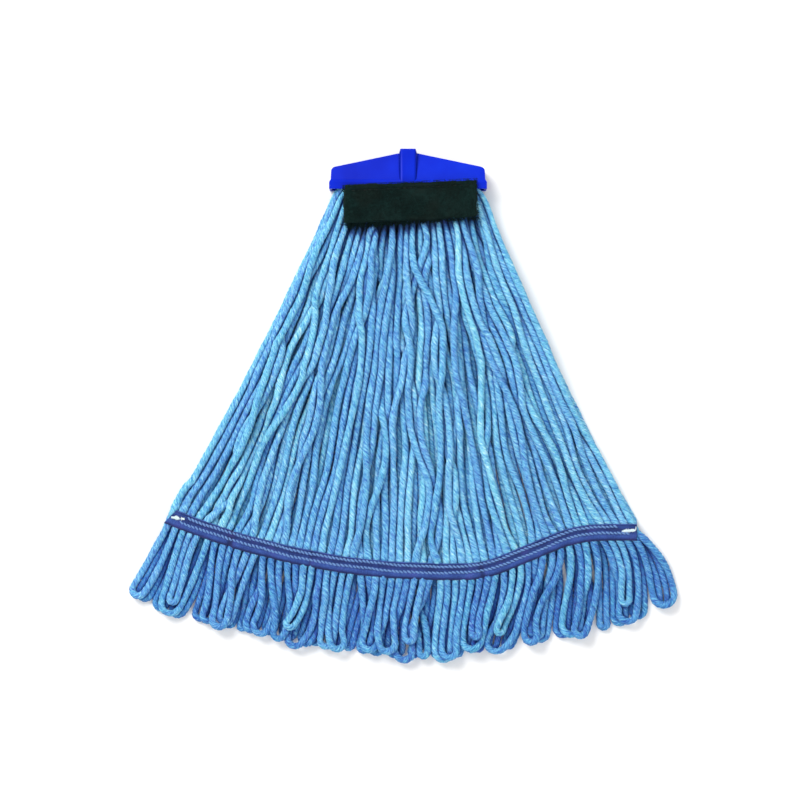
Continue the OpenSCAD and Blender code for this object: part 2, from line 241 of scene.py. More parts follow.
def yarn_tube(bag, P, rad, ident, s0=0.0, step=2.1, fuzz=1.1, shift=0.0, crowd=None, key=None, flat=None):
    """a four-ply twisted yarn along P; rad is a function of the fraction along it"""
    C, s = resample(P, step)
    T, N, B = frames(C)
    g = np.random.default_rng(int(ident) * 7 + 3)
    pitch = TWIST * g.uniform(0.9, 1.12)
    turn = -2 * math.pi * (s + s0) / pitch + g.uniform(0, 6.28)
    f = s / s[-1]
    r = SLIM * rad(f) * (1 + 0.05 * np.sin(s / 11.0 + g.uniform(0, 6)) + 0.04 * np.sin(s / 4.3 + g.uniform(0, 6)))
    ang = _phi[None, :] + turn[:, None]
    rr = r[:, None] * _prof[None, :] * (1 + 0.03 * g.standard_normal((len(C), M_RING)))
    dirs = np.cos(ang)[..., None] * N[:, None, :] + np.sin(ang)[..., None] * B[:, None, :]
    off_v = rr[..., None] * dirs
    if flat is not None:              # pressed flat under the tape: lower and wider
        fl = flat(f)[:, None]
        off_v = off_v * np.stack([1 + 0.24 * fl, 1 + 0.24 * fl, 1 - 0.12 * fl], -1)
    V = C[:, None, :] + off_v
    # painted shade where a yarn presses against another yarn and where other yarn lies over it; fixed amounts where no
    # crowd is given
    crease, buried = crowd.crease(key, C, s, dirs, r) if crowd is not None else (np.full(dirs.shape[:2], 0.6), np.full(dirs.shape[:2], 0.5))
    # painted shade in the grooves between the plies
    crease = np.clip(crease + 0.10 * (1 - _prof[None, :]) / 0.13, 0, 1)
    front = key is not None and (key < N_LEG if key < 2 * N_LEG else C[:, 2].mean() > -5.75)
    if key is not None:               # painted shade: the faces that the two halves turn to each other get less of it, the loops more
        up = dirs[..., 2]
        shade_ease = 1 - 0.6 * smooth((-up - 0.15) / 0.5) if front else 1 - 0.3 * smooth((up - 0.3) / 0.5) * (key < 2 * N_LEG)
        if key >= 2 * N_LEG: shade_ease = shade_ease * 1.3
        crease, buried = np.clip(crease * shade_ease, 0, 1), np.clip(buried * shade_ease, 0, 1)
    # painted shadow of the scrub pad's lower edge on the yarn below it, partly lint shed from the pad; added to the
    # painted shade of buried yarn
    if front and V[:, :, 1].max() > -60:
        t_ = math.radians(PAD_TILT); px, py = V[..., 0] - PAD_C[0], V[..., 1] - PAD_C[1]
        pu, pv = px * math.cos(t_) + py * math.sin(t_), -px * math.sin(t_) + py * math.cos(t_)
        below = -(pv + PAD_SIZE[1] / 2) + 1.2 * np.sin(pu / 3.1) + 0.9 * np.sin(pu / 1.3 + 2)
        reach = 7.5 + 5.0 * smooth((25 - pu) / 50) + 1.8 * np.sin(pu / 2.3 + 1)
        pad_shadow_and_lint = np.exp(-(np.maximum(below, 0) / reach) ** 2) * smooth((below + 12) / 10) * smooth((60 - np.abs(pu)) / 6)
        pad_shadow_and_lint = pad_shadow_and_lint * (0.60 + 0.40 * smooth((25 - pu) / 50)) * (0.58 + 0.42 * np.clip(crease * 1.6, 0, 1))
        buried = buried + 2.0 * pad_shadow_and_lint * smooth((dirs[..., 2] + 0.2) / 0.4)
    n = len(C)
    q, caps = ring_quads(n, M_RING)
    off = g.uniform(-90, 90, 3)
    co = np.stack([np.broadcast_to(np.cos(_phi) * 3.0, (n, M_RING)),
                   np.broadcast_to(np.sin(_phi) * 3.0, (n, M_RING)),
                   np.broadcast_to(((s + s0) * 0.30)[:, None], (n, M_RING))], -1) + off
    ply_id = (np.arange(PLY) + 4 * (ident % 97)) * 0.6180339 % 1.0
    ply = np.broadcast_to(ply_id[_ply_of.astype(int) % PLY], (n, M_RING))
    # shift lowers the tone: painted shade for yarn that lies lower or under other yarn
    tone, hue = g.uniform(0, 1) + shift, g.uniform(0, 1)
    bag.add(V.reshape(-1, 3), q, caps, yarn_co=co.reshape(-1, 3), ply=ply.ravel(), tone=tone, crease=crease.ravel(), buried=buried.ravel(), hue=hue)
    # loose fibres standing off the surface, as thin ribbons
    m = int(s[-1] * fuzz * (1.0))
    if m < 1: return
    fs = g.uniform(0, s[-1], m)
    k = np.clip(np.searchsorted(s, fs) - 1, 0, n - 2)
    w = ((fs - s[k]) / (s[k + 1] - s[k] + 1e-9))[:, None]
    c = C[k] * (1 - w) + C[k + 1] * w
    a = g.uniform(0, 2 * math.pi, m)
    rad_v = np.cos(a)[:, None] * N[k] + np.sin(a)[:, None] * B[k]
    tan_v = np.cross(T[k], rad_v)
    beta = np.radians(g.uniform(12, 62, m))[:, None]
    lay = np.radians(g.uniform(-75, 75, m))[:, None]
    along = T[k] * np.cos(lay) + tan_v * np.sin(lay)
    along *= np.where(g.uniform(0, 1, m) < 0.5, 1, -1)[:, None]
    d1 = along * np.cos(beta) + rad_v * np.sin(beta)
    bend = np.radians(g.uniform(-55, 35, m))[:, None]
    d2 = along * np.cos(beta + bend) + rad_v * np.sin(beta + bend)
    L = g.uniform(0.8, 2.6, m)[:, None] * (r[k] / R_YARN)[:, None]
    p0 = c + rad_v * (r[k] * 0.86)[:, None]
    p1 = p0 + d1 * L * 0.5; p2 = p1 + d2 * L * 0.5
    p2[:, 2] = np.maximum(p2[:, 2], FLOOR + 0.1); p1[:, 2] = np.maximum(p1[:, 2], FLOOR + 0.1)
    side = np.cross(d1, rad_v + 0.6 * g.standard_normal((m, 3)))
    side /= np.linalg.norm(side, axis=1)[:, None] + 1e-9
    V = np.stack([p0 - side * 0.055, p0 + side * 0.055, p1 + side * 0.045, p1 - side * 0.045,
                  p2 + side * 0.015, p2 - side * 0.015], 1).reshape(-1, 3)
    b = np.arange(m)[:, None] * 6
    q = np.vstack([b + [0, 1, 2, 3], b + [3, 2, 4, 5]])
    co = np.repeat(np.column_stack([np.cos(a) * 3, np.sin(a) * 3, (fs + s0) * 0.3]) + off, 6, 0)
    slot_ = (((a - turn[k]) % (2 * math.pi)) / (2 * math.pi) * M_RING).astype(int) % M_RING
    up, dp = crease[k, slot_], buried[k, slot_]
    bag.add(V, q, yarn_co=co, ply=np.repeat(g.uniform(0.25, 1, m), 6), tone=tone + 0.2, crease=np.repeat(np.clip(up * 1.1, 0, 1), 6), buried=np.repeat(dp, 6), hue=hue)

# ================================================================ laying the yarn
K = 76                            # stations from the header to the band
Y_TOP = -31.0
LAY_Z = (3.3, 5.0, 6.4)           # layers of yarn in the header, on each side of the rod

# places where the front yarns part: x, y, half opening, half length
PARTINGS = ((-54, -131, 2.6, 26), (-64, -193, 2.4, 24), (-33, -203, 2.2, 22), (3, -158, 2.4, 30), (38, -188, 3.2, 26),
            (-98, -150, 2.4, 30), (84, -150, 2.0, 26), (108, -262, 2.4, 30), (-120, -285, 2.2, 28), (-10, -300, 2.4, 34), (62, -322, 2.6, 26))

def lay_skirts():
    """relaxes the front and rear legs against each other and the floor, station by station"""
    n = 2 * N_LEG
    front = np.arange(n) < N_LEG
    rank = np.tile(np.arange(N_LEG), 2)
    u = (rank + 0.5) / N_LEG * 2 - 1
    t = np.linspace(0, 1, K)[:, None]
    xe = np.interp(u, [-1, 1], [BAND_X0 - 3.2, BAND_X1 + 3.4])
    xe[N_LEG:-1] = 0.5 * (xe[N_LEG:-1] + xe[N_LEG + 1:])      # the rear yarns lie in the gaps of the front ones
    ye = band_y(np.clip(xe, BAND_X0, BAND_X1))
    Y = Y_TOP + (ye[None, :] - Y_TOP) * t
    d = np.maximum(MOUTH_Y - Y, 0)
    bulge = 4.2 * np.exp(-((d - 4) / 15.0) ** 2) * (d > 0)
    lw, rw = left_w(d) - R_YARN + bulge, right_w(d) - R_YARN + bulge
    lw = np.where(d <= 0, 62.0, lw); rw = np.where(d <= 0, 62.0, rw)
    base = np.where(u[None, :] < 0, u[None, :] * lw, u[None, :] * rw)
    w_end = smooth((t - 0.55) / 0.45)
    base = base + (xe - base[-1])[None, :] * w_end
    # bunching: neighbouring yarns crowd together and part
    env = smooth(t / 0.16) * smooth((1 - t) / 0.11)
    D = np.zeros_like(base)
    for half in (0, 1):
        s = front if half == 0 else ~front
        for lam, amp, gy in ((31, 2.9, 0.9), (19, 1.7, 1.7), (57, 3.0, 0.6), (43, 2.2, -1.1), (24, 1.8, -0.5)):
            ph = rng.uniform(0, 6.28)
            D[:, s] += amp * np.sin(2 * math.pi * (u[s][None, :] * 205 / lam + gy * t) + ph) * np.sin(
                2 * math.pi * (t * rng.uniform(0.8, 1.7) + u[s][None, :] * rng.uniform(0.6, 1.6)) + rng.uniform(0, 6.28))
    # each yarn's own wander; some wander far enough to cross their neighbours
    amp = np.where(rng.uniform(0, 1, n) < 0.30, rng.uniform(4.0, 10.0, n), rng.uniform(0.6, 2.6, n))
    ph1, ph2 = rng.uniform(0, 6.28, n), rng.uniform(0, 6.28, n)
    W = amp * (np.sin(2 * math.pi * t * rng.uniform(0.6, 1.4, n) + ph1) + 0.45 * np.sin(2 * math.pi * t * rng.uniform(1.8, 3.0, n) + ph2))
    for px, py, wide, long in PARTINGS:
        side = base - px
        D += np.where(front[None, :], 1.0, 0.0) * wide * np.tanh(side / 2.5) * np.exp(-np.abs(side) / 17.0) * np.exp(-((Y - py) / long) ** 2)
    calm = np.where(front, 1.0, 0.30)
    target = base + (D * 1.25 + W) * env * calm
    lay = np.concatenate([rng.permutation(3) for _ in range(N_LEG // 3 + 1)])[:N_LEG]
    lay = np.concatenate([lay, lay])
    lz = np.array(LAY_Z)[lay]
    z_head = np.where(front, lz, -lz)
    z_mouth = np.where(front, 2.7 + 3.9 * lay, -2.7 - 3.9 * lay)
    z_band = np.where(front, -1.35, -8.85)
    z_mid = np.where(front, -1.0 + 3.6 * lay, -9.6 + 1.2 * lay)
    Z = np.where(t < 0.035, z_head + (z_mouth - z_head) * smooth(t / 0.035),
                 z_mouth + (z_mid - z_mouth) * smooth((t - 0.035) / 0.5))
    Z = Z + (z_band - Z) * smooth((t - 0.6) / 0.4)
    X = target.copy()
    dist = np.maximum(Y_TOP - Y, 0)
    # a yarn is squeezed in the header and at the band, and full in between
    rad = np.interp(dist, [0, 5, 12, 75], [1.3, 2.0, 2.5, R_YARN])
    end_d = (1 - t) * np.abs(ye[None, :] - Y_TOP)
    rad = np.minimum(rad, np.interp(end_d, [0, 7, 22], [0, 0, 10.0]) + np.where(front, 2.8, 2.5)[None, :])
    pinned_k = np.zeros(K, bool); pinned_k[:2] = True; pinned_k[-2:] = True
    X0, Z0 = X.copy(), Z.copy()
    yy = Y.mean(1)
    cap = np.interp(-yy, [30, 35, 37, 66, 70, 100, 200, 300, 340, 380], [8.4, 10.6, 12.9, 12.9, 14.0, 14.5, 11, 7.5, 4.0, 1.9])
    iters = 260
    slope = np.gradient(X, axis=0) / (np.gradient(Y, axis=0) + 1e-9)
    cs = 1 / np.sqrt(1 + slope ** 2)
    tri = (np.arange(n)[:, None] < np.arange(n)[None, :])[None]
    lim_l, lim_r = -(left_w(d) - rad + bulge), right_w(d) - rad + bulge
    # close to the band the outer yarns run to its ends
    lim_l = np.where(t > 0.9, np.minimum(lim_l, xe.min()), lim_l); lim_r = np.where(t > 0.9, np.maximum(lim_r, xe.max()), lim_r)
    for it in range(iters):
        if it % 12 == 11:
            # under a parting of the front half there is always a rear yarn
            F = np.sort(X[:, :N_LEG], 1)
            mid = np.column_stack([0.5 * (F[:, 1:] + F[:, :-1]), F[:, -1]])
            for _ in range(3): mid[1:-1] = 0.25 * mid[:-2] + 0.5 * mid[1:-1] + 0.25 * mid[2:]
            k = (smooth(t / 0.12) * smooth((1 - t) / 0.05))
            target[:, N_LEG:] = target[:, N_LEG:] + 0.5 * k * (mid - target[:, N_LEG:])
        Z -= 0.30 * (1 - it / iters) + 0.04
        X += 0.07 * (target - X)
        for _ in range(2):
            for A in (X, Z):
                A[1:-1] += 0.30 * (0.5 * (A[:-2] + A[2:]) - A[1:-1])
        for _ in range(2):
            near = (np.abs(X[:, None, :] - X[:, :, None]) < 8.0) & tri
            kk, a, b = np.nonzero(near)
            dx = (X[kk, b] - X[kk, a]) * 0.5 * (cs[kk, a] + cs[kk, b])
            dz = Z[kk, b] - Z[kk, a]
            dd = np.sqrt(dx * dx + dz * dz) + 1e-6
            need = (rad[kk, a] + rad[kk, b]) * 0.97
            h = dd < need
            kk, a, b, dx, dz, dd, need = kk[h], a[h], b[h], dx[h], dz[h], dd[h], need[h]
            push = 0.5 * (need - dd) * 0.55
            # yarns of the two halves part upwards, never through each other
            other = front[a] & ~front[b]
            nx = np.where(other, 0.35 * dx / dd, dx / dd)
            nz = np.where(other, -np.abs(dz / dd) * 0.6 - 0.4, dz / dd)
            for A, v in ((X, nx), (Z, nz)):
                np.add.at(A, (kk, a), -v * push)
                np.add.at(A, (kk, b), v * push)
        Z = np.maximum(Z, FLOOR + rad)
        Z = np.minimum(Z, (cap[:, None] - rad * 0.6))
        X = np.where(Y > -37.0, np.clip(X, -64.0, 64.0), np.clip(X, lim_l, lim_r))
        X[pinned_k], Z[pinned_k] = X0[pinned_k], Z0[pinned_k]
    return X, Y, Z, rad, xe, ye, lz

X, Y, Z, RAD, XE, YE, HEAD_Z = lay_skirts()

# ================================================================ the loops
def tip_y(x):
    """how far down the loops reach at x"""
    x = np.asarray(x, float)
    q = np.abs(x - 20) / np.where(x < 20, 272.0, 230.0)
    return -MOP_LEN + np.where(x < 20, 46 * q ** 1.4 + 2.5 * np.exp(-((q - 0.62) / 0.16) ** 2), 46 * q ** 1.2 - 2 * smooth((x - 100) / 40) * (1 - smooth((x - 196) / 24))) + np.where(x < 20, 18, 14) * np.minimum(q, 1.04) ** 12
def tip_shift(x):
    """sideways drift of a loop's end from its place on the band"""
    return -5 - 17 * smooth((-30 - x) / 100) - 19 * smooth((-176 - x) / 34) + 8 * smooth((x - 110) / 60) + 29 * smooth((x - 160) / 44)

def hermite(p, tp, q, tq, n):
    k = np.linalg.norm(q - p)
    t = np.linspace(0, 1, n)[:, None]
    return ((2 * t ** 3 - 3 * t ** 2 + 1) * p + (t ** 3 - 2 * t ** 2 + t) * tp * k
            + (-2 * t ** 3 + 3 * t ** 2) * q + (t ** 3 - t ** 2) * tq * k)

def turned(v, deg):
    c, s = math.cos(math.radians(deg)), math.sin(math.radians(deg))
    return np.array([c * v[0] - s * v[1], s * v[0] + c * v[1]])

def loop_line(A, B, tx, ty, hw, extra):
    """plan of one loop: from yarn A down to its turn at (tx, ty) and back up to yarn B; hw is half the
    width of the turn, extra its own lean in radians"""
    a = np.array([XE[A], YE[A]]); b = np.array([XE[B], YE[B]])
    mx = 0.5 * (a[0] + b[0]); mid = 0.5 * (a + b); tip = np.array([tx, ty])
    ang = math.atan2(tip[0] - mid[0], -(tip[1] - mid[1]))
    far, edge = float(smooth((mx - 135) / 45)), float(smooth((-150 - mx) / 50))
    lean = (1.5 - 1.2 * far - 0.2 * edge) * ang + extra * (1 - 0.6 * max(far, edge))
    dc = np.array([math.sin(lean), -math.cos(lean)]); nc = np.array([math.cos(lean), math.sin(lean)])
    C = tip - dc * (hw + R_YARN)
    splay = 20 * float(smooth((mx - 110) / 92)) + 5 * float(smooth((mx - 185) / 16)) + 3 * edge
    d = []
    for i in (A, B):
        v = np.array([X[-1, i] - X[-5, i], Y[-1, i] - Y[-5, i]])
        d.append(turned(v / np.linalg.norm(v), splay))
    lft = hermite(a, d[0], C - nc * hw, dc, 14)
    th = np.linspace(math.pi, 2 * math.pi, 11)[1:-1]
    arc = C[None, :] + np.cos(th)[:, None] * nc * hw - np.sin(th)[:, None] * dc * hw
    rgt = hermite(b, d[1], C + nc * hw, dc, 14)[::-1]
    return np.vstack([lft, arc, rgt])

CELL = 1.5
GX, GY = np.meshgrid(np.arange(-262, 252, CELL), np.arange(-460, -330, CELL), indexing="ij")
INSIDE = ((GY < band_y(np.clip(GX, BAND_X0, BAND_X1)) - 8) & (GY > tip_y(GX) + 7) & (GX > -243 + np.clip(GY + 392, 0, 60) * 0.75)
          & (GX < 236 - np.clip(GY + 385, 0, 60) * 0.75))

def covered(Q, r=3.15):
    """grid cells under a loop's yarn, as a window of the grid and a mask"""
    P, _ = resample(np.column_stack([Q, 0 * Q[:, 0]]), 2.4)
    i0, i1 = np.searchsorted(GX[:, 0], [P[:, 0].min() - 5, P[:, 0].max() + 5])
    j0, j1 = np.searchsorted(GY[0], [P[:, 1].min() - 5, P[:, 1].max() + 5])
    gx, gy = GX[i0:i1, j0:j1], GY[i0:i1, j0:j1]
    d = ((gx[..., None] - P[:, 0]) ** 2 + (gy[..., None] - P[:, 1]) ** 2).min(-1)
    return (slice(i0, i1), slice(j0, j1)), d < r * r

def make_loops():
    """start shapes of all loops, with both ends under the band; the rear loops close the gaps of the front ones"""
    g = np.random.default_rng(LOOP_SEED)
    pairs, i = [], 0
    while i < N_LEG:
        k = g.uniform()
        if N_LEG - i < 4 or k < 0.36 or i < 2:
            pairs.append((i, i + 1, "plain", 0)); i += 2
        elif k < 0.60:
            pairs += [(i, i + 3, "outer", 0), (i + 1, i + 2, "inner", 1)]; i += 4
        else:
            pairs += [(i, i + 2, "cross", 0), (i + 1, i + 3, "cross", 1)]; i += 4
    out, drift = [], 0.0
    count = np.zeros(GX.shape, int)
    for A, B, kind, level in pairs:
        calm = 1 - 0.65 * float(smooth((abs(XE[A]) - 135) / 30))
        drift = 0.45 * drift + g.normal(0, 7.0) * calm
        mx = 0.5 * (XE[A] + XE[B])
        tx = mx + float(tip_shift(mx)) + drift
        ty = float(tip_y(tx)) + float(np.clip(g.normal(-0.5, 2.4), -3.5, 5))
        hw = {"plain": g.uniform(3.5, 7.2), "cross": g.uniform(4.6, 8.2), "outer": g.uniform(7.8, 9.6), "inner": g.uniform(3.4, 4.0)}[kind]
        if kind == "inner": ty += g.uniform(9, 16)
        corner = float(smooth((mx - 190) / 9))     # the loop at the right corner lies open
        hw, tx, ty = hw + 3.4 * corner, tx - 2.6 * corner, ty - 2.4 * corner
        Q = loop_line(A, B, tx, ty, hw, math.radians(g.normal(0, 17)))
        w, m = covered(Q); count[w] += m
        f = np.linspace(0, 1, len(Q))
        lift = (3.4 * level + g.uniform(0, 3.0) + 3.2) * np.sin(math.pi * f) ** 0.8
        out.append((np.column_stack([Q, -1.35 + lift]), A, B))
    rear = {}
    for sweep in range(3):
        for A in g.permutation(np.arange(0, N_LEG, 2)):
            A = int(A) + N_LEG
            if A in rear:
                w, m = rear[A][1]; count[w] -= m
            mx = 0.5 * (XE[A] + XE[A + 1]); nat = mx + float(tip_shift(mx)); best = None
            for dx in np.arange(-13.5, 13.6, 2.25):
                for hw in (3.5, 4.6, 6.0):
                    for extra in (-0.14, 0.14):
                        tx = nat + dx; ty = float(tip_y(tx)) + 1.0 + 0.8 * math.sin(A * 2.4)
                        Q = loop_line(A, A + 1, tx, ty, hw, extra)
                        w, m = covered(Q)
                        gain = (m & (count[w] == 0) & INSIDE[w]).sum() - 0.05 * abs(dx) * 4
                        if best is None or gain > best[0]: best = (gain, (w, m), Q)
            rear[A] = best
            w, m = best[1]; count[w] += m
    for A in sorted(rear):
        Q = rear[A][2]; f = np.linspace(0, 1, len(Q))
        out.append((np.column_stack([Q, -8.85 + g.uniform(0, 3.0) * np.sin(math.pi * f) ** 0.8]), A, A + 1))
    return out

def relax_loops(loops):
    """settles all loops on the floor and on each other"""
    seg = 3.6
    pts, sl, k = [], [], 0
    for P, a, b in loops:
        C, s = resample(P, seg)
        pts.append(C); sl.append((k, k + len(C))); k += len(C)
    P = np.vstack(pts); P0 = P.copy()
    owner = np.concatenate([np.full(b - a, n) for n, (a, b) in enumerate(sl)])
    pos = np.concatenate([np.arange(b - a) for a, b in sl])
    last = np.concatenate([np.full(b - a, b - a - 1) for a, b in sl])
    pin = (pos < 3) | (pos > last - 3)
    ends = np.minimum(pos, last - pos)
    is_front = np.concatenate([np.full(b - a, loops[n][1] < N_LEG) for n, (a, b) in enumerate(sl)])
    r = np.interp(ends * seg, [0, 7, 20], [2.6, 2.8, R_YARN])
    rest = np.linalg.norm(P[1:] - P[:-1], axis=1)
    link = owner[1:] == owner[:-1]
    la = np.nonzero(link)[0]; lb = la + 1
    two = np.nonzero(owner[2:] == owner[:-2])[0]
    iters = 240
    N = len(P)
    for it in range(iters):
        if it % 8 == 0:
            pa, pb = [], []
            for s0 in range(0, N, 600):
                d = P[s0:s0 + 600, None, :] - P[None, :, :]
                i, j = np.nonzero((d * d).sum(-1) < 100.0)
                i = i + s0
                ok = (i < j) & ~((owner[i] == owner[j]) & (np.abs(pos[i] - pos[j]) < 4))
                pa.append(i[ok]); pb.append(j[ok])
            pa, pb = np.concatenate(pa), np.concatenate(pb)
            cross = is_front[pa] & ~is_front[pb]
        P[:, 2] -= 0.24 * (1 - it / iters) + 0.03
        P[:, :2] += 0.05 * (P0[:, :2] - P[:, :2])
        E = P - P0; c = two + 1
        P[c] += 0.30 * (0.5 * (E[two] + E[two + 2]) - E[c])
        for _ in range(2):
            d = P[pb] - P[pa]; dd = np.linalg.norm(d, axis=1) + 1e-6
            need = (r[pa] + r[pb]) * 0.95
            h = dd < need
            v = d[h] / dd[h][:, None] * (0.5 * (need[h] - dd[h]) * 0.6)[:, None]
            v[:, 2] *= 1.25
            cr = cross[h]
            v[cr, 2] = -np.abs(v[cr, 2]) - 0.02
            np.add.at(P, pa[h], -v); np.add.at(P, pb[h], v)
            d = P[lb] - P[la]; dd = np.linalg.norm(d, axis=1) + 1e-6
            v = d / dd[:, None] * (0.5 * (dd - rest[la]))[:, None] * 0.8
            np.add.at(P, la, v); np.add.at(P, lb, -v)
        P[:, 2] = np.maximum(P[:, 2], FLOOR + r)
        P[:, 2] = np.minimum(P[:, 2], 6.5)
        P[:, 1] = np.maximum(P[:, 1], -MOP_LEN - 1.5 + r)
        P[pin] = P0[pin]
    return [P[a:b] for a, b in sl]

LOOP_SEED = 4
LOOPS = make_loops()
SETTLED = relax_loops(LOOPS)

# ================================================================ materials
def srgb(r, g, b):
    f = lambda c: c / 12.92 if c <= 0.04045 else ((c + 0.055) / 1.055) ** 2.4
    return (f(r / 255), f(g / 255), f(b / 255), 1)

class Mat:
    """a small wrapper for building node materials"""
    def __init__(self, name):
        self.m = bpy.data.materials.new(name); self.m.use_nodes = True
        self.N, self.L = self.m.node_tree.nodes, self.m.node_tree.links
        self.bsdf = self.N["Principled BSDF"]
    def put(self, socket, v):
        if isinstance(v, (int, float, tuple)): socket.default_value = v
        else: self.L.new(v, socket)
    def attr(self, name, out="Fac"):
        n = self.N.new("ShaderNodeAttribute"); n.attribute_name = name
        return n.outputs[out]
    def coords(self): return self.N.new("ShaderNodeTexCoord").outputs["Object"]
    def noise(self, vec, scale, detail=2.0, rough=0.5, shift=None, stretch=None):
        if stretch or shift:
            mp = self.N.new("ShaderNodeMapping"); self.L.new(vec, mp.inputs["Vector"])
            if shift: mp.inputs["Location"].default_value = shift
            if stretch: mp.inputs["Scale"].default_value = stretch
            vec = mp.outputs[0]
        n = self.N.new("ShaderNodeTexNoise")
        n.inputs["Scale"].default_value = scale; n.inputs["Detail"].default_value = detail
        n.inputs["Roughness"].default_value = rough
        self.L.new(vec, n.inputs["Vector"])
        return n.outputs["Fac"]
    def math(self, op, a, b=0.0, clamp=False):
        x = self.N.new("ShaderNodeMath"); x.operation = op; x.use_clamp = clamp
        self.put(x.inputs[0], a); self.put(x.inputs[1], b)
        return x.outputs[0]
    def span(self, v, lo, hi, to_lo=0.0, to_hi=1.0):
        x = self.N.new("ShaderNodeMapRange")
        self.L.new(v, x.inputs["Value"])
        for k, w in (("From Min", lo), ("From Max", hi), ("To Min", to_lo), ("To Max", to_hi)): x.inputs[k].default_value = w
        return x.outputs[0]
    def mix(self, fac, a, b):
        x = self.N.new("ShaderNodeMix"); x.data_type = "RGBA"
        self.put(x.inputs["Factor"], fac); self.put(x.inputs["A"], a); self.put(x.inputs["B"], b)
        return x.outputs["Result"]
    def ramp(self, v, stops):
        r = self.N.new("ShaderNodeValToRGB"); e = r.color_ramp.elements
        while len(e) > 1: e.remove(e[-1])
        e[0].position, e[0].color = stops[0]
        for p, c in stops[1:]:
            x = e.new(p); x.color = c
        self.L.new(v, r.inputs["Fac"])
        return r.outputs["Color"]
    def bump(self, h, strength, dist, normal=None):
        b = self.N.new("ShaderNodeBump"); b.inputs["Strength"].default_value = strength; b.inputs["Distance"].default_value = dist
        self.L.new(h, b.inputs["Height"])
        if normal is not None: self.L.new(normal, b.inputs["Normal"])
        return b.outputs[0]
    def set(self, **kw):
        for k, v in kw.items(): self.put(self.bsdf.inputs[k.replace("_", " ")], v)
        return self.m

def mat_yarn(name="yarn", gain=0.0):
    M = Mat(name)
    co = M.attr("yarn_co", "Vector")
    fine = M.noise(co, 2.3, 4, 0.75)
    mott = M.noise(co, 0.85, 3, 0.65, shift=(61, 7, 23))
    big = M.noise(co, 0.30, 2)
    v = M.math("MULTIPLY", fine, 1.05)
    v = M.math("ADD", v, M.math("MULTIPLY", mott, 1.70))
    v = M.math("ADD", v, M.math("MULTIPLY", big, 0.45))
    v = M.math("ADD", v, M.math("MULTIPLY", M.attr("ply"), 0.07))
    v = M.math("ADD", v, M.math("MULTIPLY", M.attr("tone"), 0.20))
    v = M.math("SUBTRACT", v, 1.225 - gain, True)
    mid_c = M.ramp(v, [(0.0, srgb(44, 84, 160)), (0.20, srgb(60, 114, 188)), (0.40, srgb(88, 156, 208)),
                       (0.58, srgb(116, 188, 224)), (0.78, srgb(150, 214, 234)), (1.0, srgb(214, 240, 244))])
    sky_c = M.ramp(v, [(0.0, srgb(40, 92, 150)), (0.22, srgb(62, 132, 182)), (0.42, srgb(92, 174, 206)),
                       (0.60, srgb(122, 200, 222)), (0.80, srgb(156, 222, 234)), (1.0, srgb(218, 244, 246))])
    dim_c = M.ramp(v, [(0.0, srgb(44, 60, 144)), (0.24, srgb(58, 90, 172)), (0.46, srgb(80, 130, 200)),
                       (0.66, srgb(106, 166, 218)), (0.84, srgb(138, 196, 230)), (1.0, srgb(204, 230, 242))])
    odd = M.noise(co, 0.75, 3, 0.6, shift=(37, 11, 5))
    hue = M.math("ADD", M.math("MULTIPLY", M.attr("hue"), 0.20), M.math("ADD", M.math("MULTIPLY", odd, 0.9), M.math("MULTIPLY", big, 0.5)))
    col = M.mix(M.span(hue, 0.83, 1.02), mid_c, dim_c)
    col = M.mix(M.span(hue, 0.76, 0.60), col, sky_c)
    pale = M.noise(co, 2.0, 2, 0.5, shift=(3, 71, 19))
    col = M.mix(M.span(pale, 0.64, 0.74, 0, 0.55), col, srgb(222, 242, 246))
    # painted shade deep in the creases between the yarns, and on yarn lying under other yarn
    cr = M.attr("crease")
    crease_shade_col = M.mix(M.span(odd, 0.44, 0.62), srgb(40, 112, 196), srgb(64, 78, 178))
    col = M.mix(M.span(cr, 0.24, 1.0, 0, 0.60), col, crease_shade_col)
    # painted shade on yarn lying under other yarn
    buried_shade_col = M.mix(M.span(odd, 0.44, 0.60), srgb(28, 78, 152), srgb(46, 50, 136))
    shade_and_lint_fac = M.attr("buried")
    col = M.mix(M.span(shade_and_lint_fac, 0.46, 1.0, 0, 0.78), col, buried_shade_col)
    # near black: painted shadow under the scrub pad's lower edge, partly lint shed from the pad
    col = M.mix(M.span(shade_and_lint_fac, 0.9, 2.1, 0, 0.94), col, srgb(14, 22, 40))
    return M.set(Base_Color=col, Roughness=0.92, Specular_IOR_Level=0.10, Sheen_Weight=0.04, Sheen_Roughness=0.5,
                 Subsurface_Weight=0.35, Subsurface_Radius=(0.7, 1.0, 1.25), Subsurface_Scale=0.0022,
                 Normal=M.bump(fine, 0.75, 0.0007))

